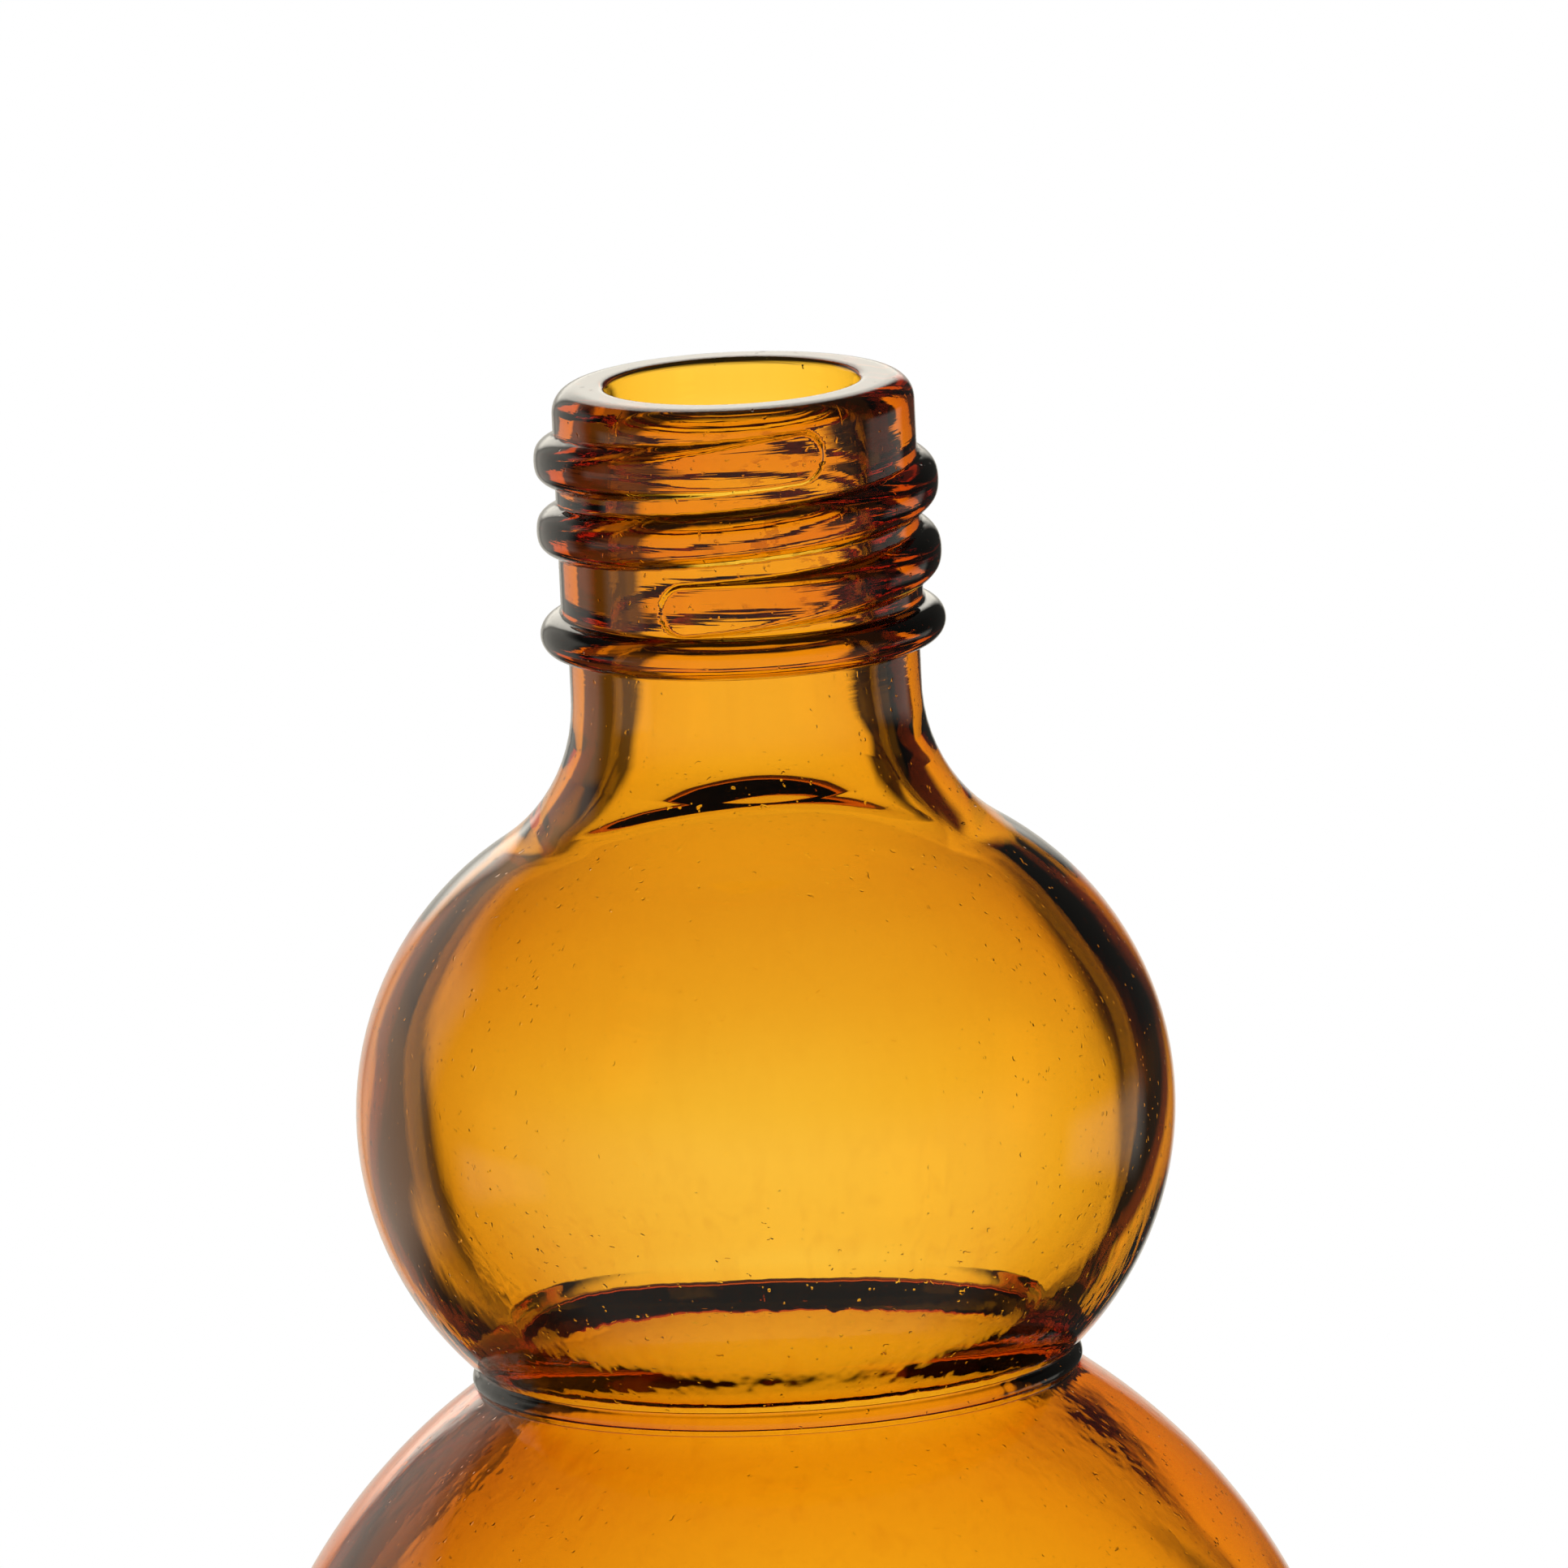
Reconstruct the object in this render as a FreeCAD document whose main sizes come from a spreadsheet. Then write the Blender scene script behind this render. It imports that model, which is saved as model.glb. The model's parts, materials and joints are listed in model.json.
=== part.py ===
# Amber double-gourd bottle with a screw-thread neck, one moulded piece of glass.
#
# Millimetres, +Z up. The origin is the centre of the circle the bottle stands on.
# The wall is a PartDesign body: revolved lobes, neck, finish, bead and collar, with one
# revolved cavity cut out of them. The screw thread is a round ridge that sinks into the
# finish at both ends. It is lofted through sections with a round crown and a flat back,
# which lies inside the wall, and fused to the glass.

import FreeCAD, Part
import math
import os
import Sketcher

from FreeCAD import Vector

doc = FreeCAD.newDocument("gourd_bottle")

# ---------------------------------------------------------------- driving dimensions

SIZES = [
    ("base_d", 31.0, "circle where the lower lobe would meet the ground, before the heel"),
    ("heel_round", 3.0, "outside rounding between the lower lobe and the ground"),
    ("pushup_d", 22.0, "hollow under the base: diameter"),
    ("pushup_depth", 1.4, "hollow under the base: height at the middle"),
    ("lower_d", 50.2, "lower lobe: widest diameter"),
    ("lower_equator", 19.6, "height of the widest circle of the lower lobe"),
    ("lower_rise", 22.4, "from that circle up to the crease under the collar"),
    ("waist_d", 26.2, "diameter of both creases beside the collar"),
    ("collar_proud", 0.35, "collar round the waist: how far its crest stands out"),
    ("collar_height", 0.95, "collar, from crease to crease"),
    ("upper_rise", 11.0, "from the upper crease to the widest circle of the upper lobe"),
    ("upper_d", 36.0, "upper lobe: widest diameter"),
    ("upper_round", 14.3, "arc from that circle towards the shoulder"),
    ("shoulder_round", 7.6, "hollow arc from the upper lobe into the neck"),
    ("neck_d", 15.4, "neck outside, under the bead"),
    ("neck_straight", 2.1, "straight part of the neck under the bead"),
    ("bead_proud", 0.95, "transfer bead: how far its crest stands out from the finish"),
    ("bead_height", 1.75, "transfer bead: height where it meets the finish"),
    ("finish_d", 15.9, "finish outside, between the threads"),
    ("finish_rise", 10.05, "from the top of the bead to the lip"),
    ("bore_d", 11.1, "bore through finish and neck"),
    ("lip_round", 1.1, "rounding of the lip, outside"),
    ("bore_round", 0.3, "rounding of the lip, inside"),
    ("shoulder_wall", 1.5, "glass thickness round the hollow arc of the shoulder"),
    ("upper_wall", 1.4, "glass thickness at the widest circle of the upper lobe"),
    ("throat_d", 22.8, "hollow at the waist: narrowest diameter"),
    ("throat_drop", 0.1, "from the crease under the collar down to that narrowest circle"),
    ("throat_over", 5.5, "inside rounding of the thick glass above that circle"),
    ("throat_under", 2.7, "inside rounding of the thick glass below that circle"),
    ("lower_wall", 1.9, "glass thickness at the widest circle of the lower lobe"),
    ("floor_thick", 2.6, "glass thickness over the hollow of the base"),
    ("floor_round", 4.0, "inside rounding between the lower lobe and the floor"),
    ("thread_proud", 0.95, "thread: how far its crest stands out from the finish"),
    ("thread_width", 2.3, "thread: width where it meets the finish"),
    ("thread_pitch", 3.1, "thread: rise of one turn"),
    ("thread_sweep", 770.0, "thread: angle from its lower end to its upper end"),
    ("thread_depth", 2.2, "thread: from the lip down to the middle of its upper end"),
    ("thread_front", 26.0, "thread: angle of its upper end, from the front to the right"),
    ("thread_fade", 48.0, "thread: angle over which each end sinks into the finish"),
    ("thread_sunk", 0.12, "thread: how deep its tips end inside the finish"),
    ("thread_tip", 0.35, "thread: rounding of its crown at the tips"),
]

sheet = doc.addObject("Spreadsheet::Sheet", "sizes")
for row, (alias, size, meaning) in enumerate(SIZES, start=1):
    sheet.set("A%d" % row, alias)
    sheet.set("B%d" % row, str(size))
    sheet.set("C%d" % row, meaning)
    sheet.setAlias("B%d" % row, alias)
doc.recompute()


def cell(alias):
    """The expression that reads one driving dimension."""
    return "sizes." + alias


def half(alias):
    """The expression for a radius, where the sheet gives the diameter."""
    return "sizes.%s / 2" % alias


def number(expression):
    """What an expression comes to now, for placing geometry before it is bound."""
    return float(sheet.evalExpression(expression))


def arc_radius(run, rise):
    """Radius of the arc that leaves an equator upright and ends run nearer, rise away."""
    return "((%s)^2 + (%s)^2) / (2 * (%s))" % (run, rise, run)


def crown_radius(height, proud):
    """Radius of a round ridge that is height wide at its root and stands proud by proud."""
    return "((%s / 2)^2 + %s^2) / (2 * %s)" % (cell(height), cell(proud), cell(proud))


# ------------------------------------------------------------------ levels and arcs

LOWER_EQUATOR = cell("lower_equator")
WAIST_BOTTOM = LOWER_EQUATOR + " + " + cell("lower_rise")
WAIST_TOP = WAIST_BOTTOM + " + " + cell("collar_height")
COLLAR_MIDDLE = WAIST_BOTTOM + " + " + cell("collar_height") + " / 2"
UPPER_EQUATOR = WAIST_TOP + " + " + cell("upper_rise")

FOOT_ROUND = arc_radius(half("lower_d") + " - " + half("base_d"), LOWER_EQUATOR)
BELLY_ROUND = arc_radius(half("lower_d") + " - " + half("waist_d"), cell("lower_rise"))
BOWL_ROUND = arc_radius(half("upper_d") + " - " + half("waist_d"), cell("upper_rise"))

# Height from the upper equator to where the shoulder arc turns upright into the neck:
# the two centres are the sum of the two radii apart.
SHOULDER_X = half("neck_d") + " + " + cell("shoulder_round")
UPPER_X = half("upper_d") + " - " + cell("upper_round")
SHOULDER_RISE = "sqrt((%s + %s)^2 - (%s - (%s))^2)" % (
    cell("shoulder_round"), cell("upper_round"), SHOULDER_X, UPPER_X)

THROAT_LEVEL = WAIST_BOTTOM + " - " + cell("throat_drop")
NECK_TOP = UPPER_EQUATOR + " + " + SHOULDER_RISE + " + " + cell("neck_straight")
BEAD_MIDDLE = NECK_TOP + " + " + cell("bead_height") + " / 2"
LIP = NECK_TOP + " + " + cell("bead_height") + " + " + cell("finish_rise")

# ------------------------------------------------------------------- sketch helpers

# Sketcher numbers the points of a line or an arc 1 to 3, and a sketch's own axes -1 and -2.
START, END, CENTRE = range(1, 4)
LEVEL_AXIS, UPRIGHT_AXIS = range(-1, -3, -1)
ORIGIN = (LEVEL_AXIS, START)


def profile_sketch(body, name):
    """A sketch on the body's own XZ plane: x is the radius and y is the height."""
    plane = [item for item in body.Origin.OriginFeatures if item.Role == "XZ_Plane"][0]
    sketch = body.newObject("Sketcher::SketchObject", name)
    sketch.AttachmentSupport = [(plane, "")]
    sketch.MapMode = "FlatFace"
    return sketch


def add_line(sketch, first, last):
    return sketch.addGeometry(Part.LineSegment(Vector(*first, 0), Vector(*last, 0)), False)


def add_arc(sketch, centre, radius, first, last):
    """An arc about centre, counter-clockwise from the angle of first to that of last."""
    turn = [math.atan2(point[1] - centre[1], point[0] - centre[0]) for point in (first, last)]
    circle = Part.Circle(Vector(*centre, 0), Vector(0, 0, 1), radius)
    return sketch.addGeometry(Part.ArcOfCircle(circle, turn[0], turn[1]), False)


def add_circle(sketch, centre, radius):
    return sketch.addGeometry(Part.Circle(Vector(*centre, 0), Vector(0, 0, 1), radius), False)


def join(sketch, first, first_end, last, last_end):
    sketch.addConstraint(Sketcher.Constraint("Coincident", first, first_end, last, last_end))


def blend(sketch, first, first_end, last, last_end):
    """Join two ends and let one run smoothly into the other."""
    sketch.addConstraint(Sketcher.Constraint("Tangent", first, first_end, last, last_end))


def on_axis(sketch, item, end):
    sketch.addConstraint(Sketcher.Constraint("PointOnObject", item, end, UPRIGHT_AXIS))


def level(sketch, item, first_end=None, last_end=None):
    """A level line, or two points of one item at the same height."""
    if first_end is None:
        sketch.addConstraint(Sketcher.Constraint("Horizontal", item))
    else:
        sketch.addConstraint(Sketcher.Constraint("Horizontal", item, first_end, item, last_end))


def upright(sketch, item):
    sketch.addConstraint(Sketcher.Constraint("Vertical", item))


def bind(sketch, kind, name, expression, *place):
    """A named dimension of the sketch, driven by an expression on the sheet."""
    index = sketch.addConstraint(Sketcher.Constraint(kind, *place, number(expression)))
    sketch.renameConstraint(index, name)
    sketch.setExpression("Constraints." + name, expression)


def bind_point(sketch, name, item, end, radius=None, height=None):
    """Drive a point's radius from the axis, its height above the ground, or both."""
    if radius is not None:
        bind(sketch, "DistanceX", name + "_radius", radius, *ORIGIN, item, end)
    if height is not None:
        bind(sketch, "DistanceY", name + "_height", height, *ORIGIN, item, end)


def far_meeting(centre_a, reach_a, centre_b, reach_b):
    """Where two circles cross, on the side away from the axis."""
    across = Vector(centre_b[0] - centre_a[0], centre_b[1] - centre_a[1], 0)
    along = (reach_a ** 2 - reach_b ** 2 + across.Length ** 2) / (2 * across.Length)
    aside = math.sqrt(reach_a ** 2 - along ** 2)
    unit = Vector(across).normalize()
    foot = (centre_a[0] + unit.x * along, centre_a[1] + unit.y * along)
    sides = [(foot[0] - unit.y * aside * way, foot[1] + unit.x * aside * way) for way in (-1, 1)]
    return max(sides)


def towards(centre, target, distance):
    """The point at a distance from centre, in the direction of target."""
    step = Vector(target[0] - centre[0], target[1] - centre[1], 0).normalize()
    return (centre[0] + step.x * distance, centre[1] + step.y * distance)


def turn_about_axis(body, kind, name, sketch):
    """A full turn of a profile about its own upright axis, added or cut."""
    feature = body.newObject(kind, name)
    feature.Profile = sketch
    feature.ReferenceAxis = (sketch, ["V_Axis"])
    feature.Angle = 360.0
    doc.recompute()
    return feature


# ------------------------------------------------------------------------ the glass

wall_body = doc.addObject("PartDesign::Body", "glass_wall")


def lower_lobe_outline():
    """Ground circle, lower arc, equator, upper arc and the top at the waist."""
    sketch = profile_sketch(wall_body, "lower_lobe_outline")
    widest, height = number(half("lower_d")), number(LOWER_EQUATOR)
    foot = (number(half("base_d")), 0.0)
    crease = (number(half("waist_d")), number(WAIST_BOTTOM))
    equator = (widest, height)
    foot_radius, belly_radius = number(FOOT_ROUND), number(BELLY_ROUND)
    axis = add_line(sketch, (0, 0), (0, crease[1]))
    ground = add_line(sketch, (0, 0), foot)
    lower = add_arc(sketch, (widest - foot_radius, height), foot_radius, foot, equator)
    upper = add_arc(sketch, (widest - belly_radius, height), belly_radius, equator, crease)
    top = add_line(sketch, crease, (0, crease[1]))
    join(sketch, axis, START, *ORIGIN)
    join(sketch, ground, START, *ORIGIN)
    join(sketch, ground, END, lower, START)
    join(sketch, lower, END, upper, START)
    join(sketch, upper, END, top, START)
    join(sketch, top, END, axis, END)
    on_axis(sketch, axis, END)
    level(sketch, ground)
    level(sketch, top)
    level(sketch, lower, CENTRE, END)
    level(sketch, upper, CENTRE, START)
    bind_point(sketch, "foot", ground, END, radius=half("base_d"))
    bind_point(sketch, "equator", lower, END, half("lower_d"), LOWER_EQUATOR)
    bind_point(sketch, "crease", upper, END, half("waist_d"), WAIST_BOTTOM)
    return sketch


def upper_lobe_outline():
    """Waist band, bowl, equator, shoulder and neck up to the bead."""
    sketch = profile_sketch(wall_body, "upper_lobe_outline")
    waist = number(half("waist_d"))
    low, high = number(WAIST_BOTTOM), number(WAIST_TOP)
    equator = (number(half("upper_d")), number(UPPER_EQUATOR))
    bowl_radius, upper_radius = number(BOWL_ROUND), number(cell("upper_round"))
    shoulder_radius = number(cell("shoulder_round"))
    neck = (number(half("neck_d")), equator[1] + number(SHOULDER_RISE))
    top = number(NECK_TOP)
    upper_centre = (equator[0] - upper_radius, equator[1])
    shoulder_centre = (neck[0] + shoulder_radius, neck[1])
    meeting = towards(upper_centre, shoulder_centre, upper_radius)
    axis = add_line(sketch, (0, low), (0, top))
    floor = add_line(sketch, (0, low), (waist, low))
    band = add_line(sketch, (waist, low), (waist, high))
    bowl = add_arc(sketch, (equator[0] - bowl_radius, equator[1]), bowl_radius,
                   (waist, high), equator)
    upper = add_arc(sketch, upper_centre, upper_radius, equator, meeting)
    shoulder = add_arc(sketch, shoulder_centre, shoulder_radius, neck, meeting)
    side = add_line(sketch, neck, (neck[0], top))
    lid = add_line(sketch, (neck[0], top), (0, top))
    join(sketch, axis, START, floor, START)
    join(sketch, floor, END, band, START)
    join(sketch, band, END, bowl, START)
    join(sketch, bowl, END, upper, START)
    blend(sketch, upper, END, shoulder, END)
    blend(sketch, shoulder, START, side, START)
    join(sketch, side, END, lid, START)
    join(sketch, lid, END, axis, END)
    on_axis(sketch, axis, START)
    on_axis(sketch, axis, END)
    level(sketch, floor)
    level(sketch, lid)
    upright(sketch, band)
    upright(sketch, side)
    level(sketch, bowl, CENTRE, END)
    level(sketch, upper, CENTRE, START)
    bind_point(sketch, "waist", floor, END, half("waist_d"), WAIST_BOTTOM)
    bind(sketch, "DistanceY", "band_height", cell("collar_height"), band, START, band, END)
    bind_point(sketch, "equator", bowl, END, half("upper_d"), UPPER_EQUATOR)
    bind(sketch, "Radius", "upper_radius", cell("upper_round"), upper)
    bind(sketch, "Radius", "shoulder_radius", cell("shoulder_round"), shoulder)
    bind_point(sketch, "neck", side, END, half("neck_d"), NECK_TOP)
    return sketch


def ring_outline(name, root_d, proud, height, middle):
    """The round section of a ring that stands proud of the glass: bead or collar."""
    sketch = profile_sketch(wall_body, name)
    crown = crown_radius(height, proud)
    reach = half(root_d) + " + " + cell(proud) + " - " + crown
    ring = add_circle(sketch, (number(reach), number(middle)), number(crown))
    bind(sketch, "Radius", "crown_radius", crown, ring)
    bind_point(sketch, "ring", ring, CENTRE, reach, middle)
    return sketch


def finish_outline():
    """The plain cylinder that carries the thread, from under the bead to the lip."""
    sketch = profile_sketch(wall_body, "finish_outline")
    radius, low, high = number(half("finish_d")), number(NECK_TOP), number(LIP)
    axis = add_line(sketch, (0, low), (0, high))
    floor = add_line(sketch, (0, low), (radius, low))
    side = add_line(sketch, (radius, low), (radius, high))
    lid = add_line(sketch, (radius, high), (0, high))
    join(sketch, axis, START, floor, START)
    join(sketch, floor, END, side, START)
    join(sketch, side, END, lid, START)
    join(sketch, lid, END, axis, END)
    on_axis(sketch, axis, START)
    on_axis(sketch, axis, END)
    level(sketch, floor)
    level(sketch, lid)
    upright(sketch, side)
    bind_point(sketch, "seat", floor, END, half("finish_d"), NECK_TOP)
    bind_point(sketch, "lip", side, END, height=LIP)
    return sketch


def inner_lobe_radius(reach, rise, throat, rounding):
    """Radius of a lobe's inner arc, upright at its equator and tangent to the throat's arc."""
    run = reach - throat - rounding
    return (run ** 2 + rise ** 2 - rounding ** 2) / (2 * (run + rounding))


def cavity_outline():
    """The hollow: floor, lower lobe, throat, upper lobe, shoulder and straight bore."""
    sketch = profile_sketch(wall_body, "cavity_outline")
    upper_reach = half("upper_d") + " - " + cell("upper_wall")
    lower_reach = half("lower_d") + " - " + cell("lower_wall")
    shoulder_round = cell("shoulder_round") + " + " + cell("shoulder_wall")
    upper_round = cell("upper_round") + " - " + cell("upper_wall")
    foot_round = "(" + FOOT_ROUND + ") - " + cell("lower_wall")
    pushup_round = arc_radius(cell("pushup_depth"), half("pushup_d"))
    floor_round = "(" + pushup_round + ") + " + cell("floor_thick")
    floor_level = cell("pushup_depth") + " - (" + pushup_round + ")"

    bore, lip = number(half("bore_d")), number(LIP)
    high = (number(upper_reach), number(UPPER_EQUATOR))
    wide = (number(lower_reach), number(LOWER_EQUATOR))
    throat = (number(half("throat_d")), number(THROAT_LEVEL))
    over, under = number(cell("throat_over")), number(cell("throat_under"))
    radius = {"shoulder": number(shoulder_round), "upper": number(upper_round),
              "bowl": inner_lobe_radius(high[0], high[1] - throat[1], throat[0], over),
              "over": over, "under": under,
              "belly": inner_lobe_radius(wide[0], throat[1] - wide[1], throat[0], under),
              "foot": number(foot_round), "heel": number(cell("floor_round")),
              "floor": number(floor_round)}
    centre = {"upper": (high[0] - radius["upper"], high[1]),
              "bowl": (high[0] - radius["bowl"], high[1]),
              "over": (throat[0] + over, throat[1]),
              "under": (throat[0] + under, throat[1]),
              "belly": (wide[0] - radius["belly"], wide[1]),
              "foot": (wide[0] - radius["foot"], wide[1]),
              "floor": (0.0, number(floor_level))}
    shoulder_x = bore + radius["shoulder"]
    shoulder_rise = math.sqrt((radius["shoulder"] + radius["upper"]) ** 2
                              - (shoulder_x - centre["upper"][0]) ** 2)
    centre["shoulder"] = (shoulder_x, high[1] + shoulder_rise)
    centre["heel"] = far_meeting(centre["floor"], radius["floor"] + radius["heel"],
                                 centre["foot"], radius["foot"] - radius["heel"])
    middle = (0.0, centre["floor"][1] + radius["floor"])
    floor_end = towards(centre["floor"], centre["heel"], radius["floor"])
    heel_end = towards(centre["foot"], centre["heel"], radius["foot"])
    throat_low = towards(centre["belly"], centre["under"], radius["belly"])
    throat_high = towards(centre["bowl"], centre["over"], radius["bowl"])
    shoulder_low = towards(centre["upper"], centre["shoulder"], radius["upper"])
    bore_low = (bore, centre["shoulder"][1])

    ends = {"floor": (floor_end, middle), "heel": (floor_end, heel_end),
            "foot": (heel_end, wide), "belly": (wide, throat_low),
            "over": (throat_high, throat), "under": (throat, throat_low),
            "bowl": (throat_high, high),
            "upper": (high, shoulder_low), "shoulder": (bore_low, shoulder_low)}
    arc = {name: add_arc(sketch, centre[name], radius[name], *ends[name]) for name in ends}
    side = add_line(sketch, bore_low, (bore, lip))
    lid = add_line(sketch, (bore, lip), (0, lip))
    axis = add_line(sketch, (0, lip), middle)

    join(sketch, axis, END, arc["floor"], END)
    blend(sketch, arc["floor"], START, arc["heel"], START)
    blend(sketch, arc["heel"], END, arc["foot"], START)
    join(sketch, arc["foot"], END, arc["belly"], START)
    blend(sketch, arc["belly"], END, arc["under"], END)
    join(sketch, arc["under"], START, arc["over"], END)
    blend(sketch, arc["over"], START, arc["bowl"], START)
    join(sketch, arc["bowl"], END, arc["upper"], START)
    blend(sketch, arc["upper"], END, arc["shoulder"], END)
    blend(sketch, arc["shoulder"], START, side, START)
    join(sketch, side, END, lid, START)
    join(sketch, lid, END, axis, START)
    on_axis(sketch, axis, START)
    on_axis(sketch, axis, END)
    on_axis(sketch, arc["floor"], CENTRE)
    level(sketch, lid)
    upright(sketch, side)
    level(sketch, arc["foot"], CENTRE, END)
    level(sketch, arc["belly"], CENTRE, START)
    level(sketch, arc["under"], CENTRE, START)
    level(sketch, arc["over"], CENTRE, END)
    level(sketch, arc["bowl"], CENTRE, END)
    level(sketch, arc["upper"], CENTRE, START)
    bind_point(sketch, "floor_centre", arc["floor"], CENTRE, height=floor_level)
    bind_point(sketch, "lower", arc["foot"], END, lower_reach, LOWER_EQUATOR)
    bind_point(sketch, "throat", arc["over"], END, half("throat_d"), THROAT_LEVEL)
    bind_point(sketch, "upper", arc["bowl"], END, upper_reach, UPPER_EQUATOR)
    bind_point(sketch, "lip", side, END, half("bore_d"), LIP)
    rounds = {"floor": floor_round, "heel": cell("floor_round"), "foot": foot_round,
              "over": cell("throat_over"), "under": cell("throat_under"), "upper": upper_round,
              "shoulder": shoulder_round}
    for name, expression in rounds.items():
        bind(sketch, "Radius", name + "_round", expression, arc[name])
    return sketch


def pushup_outline():
    """The shallow dome pressed up under the base."""
    sketch = profile_sketch(wall_body, "pushup_outline")
    edge, depth = number(half("pushup_d")), number(cell("pushup_depth"))
    radius = number(arc_radius(cell("pushup_depth"), half("pushup_d")))
    ground = add_line(sketch, (0, 0), (edge, 0))
    dome = add_arc(sketch, (0, depth - radius), radius, (edge, 0), (0, depth))
    axis = add_line(sketch, (0, depth), (0, 0))
    join(sketch, ground, START, *ORIGIN)
    join(sketch, ground, END, dome, START)
    join(sketch, dome, END, axis, START)
    join(sketch, axis, END, *ORIGIN)
    level(sketch, ground)
    on_axis(sketch, dome, END)
    on_axis(sketch, dome, CENTRE)
    bind_point(sketch, "edge", ground, END, radius=half("pushup_d"))
    bind_point(sketch, "dome", dome, END, height=cell("pushup_depth"))
    return sketch


SAME_CIRCLE = 1e-4   # how near an edge lies to the circle it is found by


def round_edge(name, radius, diameter, height):
    """A fillet on the circle of this diameter at this height."""
    base = wall_body.Tip
    reach, rise = number(half(diameter)), number(height)
    names = []
    for index, edge in enumerate(base.Shape.Edges, start=1):
        if edge.Degenerated or not isinstance(edge.Curve, Part.Circle):
            continue
        off = max(abs(edge.Curve.Radius - reach), abs(edge.Curve.Center.z - rise))
        if off < SAME_CIRCLE:
            names.append("Edge%d" % index)
    fillet = wall_body.newObject("PartDesign::Fillet", name)
    fillet.Base = (base, names)
    fillet.setExpression("Radius", cell(radius))
    doc.recompute()
    return fillet


ADD, CUT = "PartDesign::Revolution", "PartDesign::Groove"
turn_about_axis(wall_body, ADD, "lower_lobe", lower_lobe_outline())
turn_about_axis(wall_body, ADD, "upper_lobe", upper_lobe_outline())
turn_about_axis(wall_body, ADD, "collar", ring_outline(
    "collar_outline", "waist_d", "collar_proud", "collar_height", COLLAR_MIDDLE))
turn_about_axis(wall_body, ADD, "finish", finish_outline())
turn_about_axis(wall_body, ADD, "bead", ring_outline(
    "bead_outline", "finish_d", "bead_proud", "bead_height", BEAD_MIDDLE))
solid_volume = wall_body.Tip.Shape.Volume
turn_about_axis(wall_body, CUT, "pushup", pushup_outline())
pushup_volume = solid_volume - wall_body.Tip.Shape.Volume
turn_about_axis(wall_body, CUT, "cavity", cavity_outline())
cavity_volume = solid_volume - pushup_volume - wall_body.Tip.Shape.Volume
round_edge("heel", "heel_round", "base_d", "0")
round_edge("lip_outside", "lip_round", "finish_d", LIP)
round_edge("lip_inside", "bore_round", "bore_d", LIP)
print("hollow under the base %.0f mm3, cavity %.1f ml" % (pushup_volume, cavity_volume / 1000))
if pushup_volume <= 0 or cavity_volume <= 0:
    raise RuntimeError("a cut removed no glass")

# ----------------------------------------------------------------------- the thread

BACK_ANGLE = 125.0   # from the crest round to each edge of the flat back
LONGEST_SPAN = 180.0   # a lofted span turns no further than this
PLAIN_STEPS = 6
FADE_STEPS = 6


def ridge_section(angle, swell):
    """The ridge's section at an angle down the thread; swell is 0 at its tips, 1 between."""
    finish_radius = number(half("finish_d"))
    proud, sunk = number(cell("thread_proud")), number(cell("thread_sunk"))
    tip, crown = number(cell("thread_tip")), number(crown_radius("thread_width", "thread_proud"))
    crest = finish_radius - sunk + (proud + sunk) * swell
    size = tip + (crown - tip) * math.sqrt(1 - (1 - swell) ** 2)
    turn = math.radians(number(cell("thread_front")) - angle)
    outward = Vector(math.sin(turn), -math.cos(turn), 0)
    drop = number(cell("thread_depth")) + number(cell("thread_pitch")) * angle / 360
    centre = outward * (crest - size) + Vector(0, 0, number(LIP) - drop)

    def rim(degrees):
        aim = math.radians(degrees)
        return centre + (outward * math.cos(aim) + Vector(0, 0, math.sin(aim))) * size

    crown_arc = Part.Arc(rim(-BACK_ANGLE), rim(0), rim(BACK_ANGLE))
    back = Part.LineSegment(rim(BACK_ANGLE), rim(-BACK_ANGLE))
    return Part.Wire([crown_arc.toShape(), back.toShape()])


def ridge_span(first, last, steps, swell):
    """One stretch of the ridge, lofted between two angles."""
    angles = [first + (last - first) * step / steps for step in range(steps + 1)]
    return Part.makeLoft([ridge_section(angle, swell(angle)) for angle in angles], True, False)


def thread_spans():
    """A right-hand ridge in spans: a fading tip, plain turns and a fading tip."""
    sweep, fade = number(cell("thread_sweep")), number(cell("thread_fade"))

    def swell(angle):
        way = max(0.0, min(1.0, angle / fade, (sweep - angle) / fade))
        return way * way * (3 - 2 * way)

    plain = sweep - 2 * fade
    count = math.ceil(plain / LONGEST_SPAN)
    stops = [fade + plain * step / count for step in range(count + 1)]
    spans = [ridge_span(first, last, PLAIN_STEPS, swell)
             for first, last in zip(stops[:-1], stops[1:])]
    upper_tip = ridge_span(0.0, fade, FADE_STEPS, swell)
    lower_tip = ridge_span(sweep - fade, sweep, FADE_STEPS, swell)
    return [upper_tip] + spans + [lower_tip]


thread = doc.addObject("Part::Feature", "thread")
thread.Shape = Part.makeCompound(thread_spans())

bottle = doc.addObject("Part::Fuse", "bottle")
bottle.Base = wall_body
bottle.Tool = thread
bottle.Label = "bottle"
bottle.Placement = FreeCAD.Placement()
doc.recompute()
thread_volume = bottle.Shape.Volume - wall_body.Shape.Volume
print("thread stands out by %.0f mm3" % thread_volume)
if thread_volume <= 0:
    raise RuntimeError("the thread added no glass")

# ------------------------------------------------------------------- check and write

for item in doc.Objects:
    if "Invalid" in item.State or "Error" in item.State:
        raise RuntimeError("%s did not compute: %s" % (item.Name, item.State))
    if item.TypeId == "Sketcher::SketchObject" and not item.FullyConstrained:
        raise RuntimeError("%s is not fully constrained" % item.Name)

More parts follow.
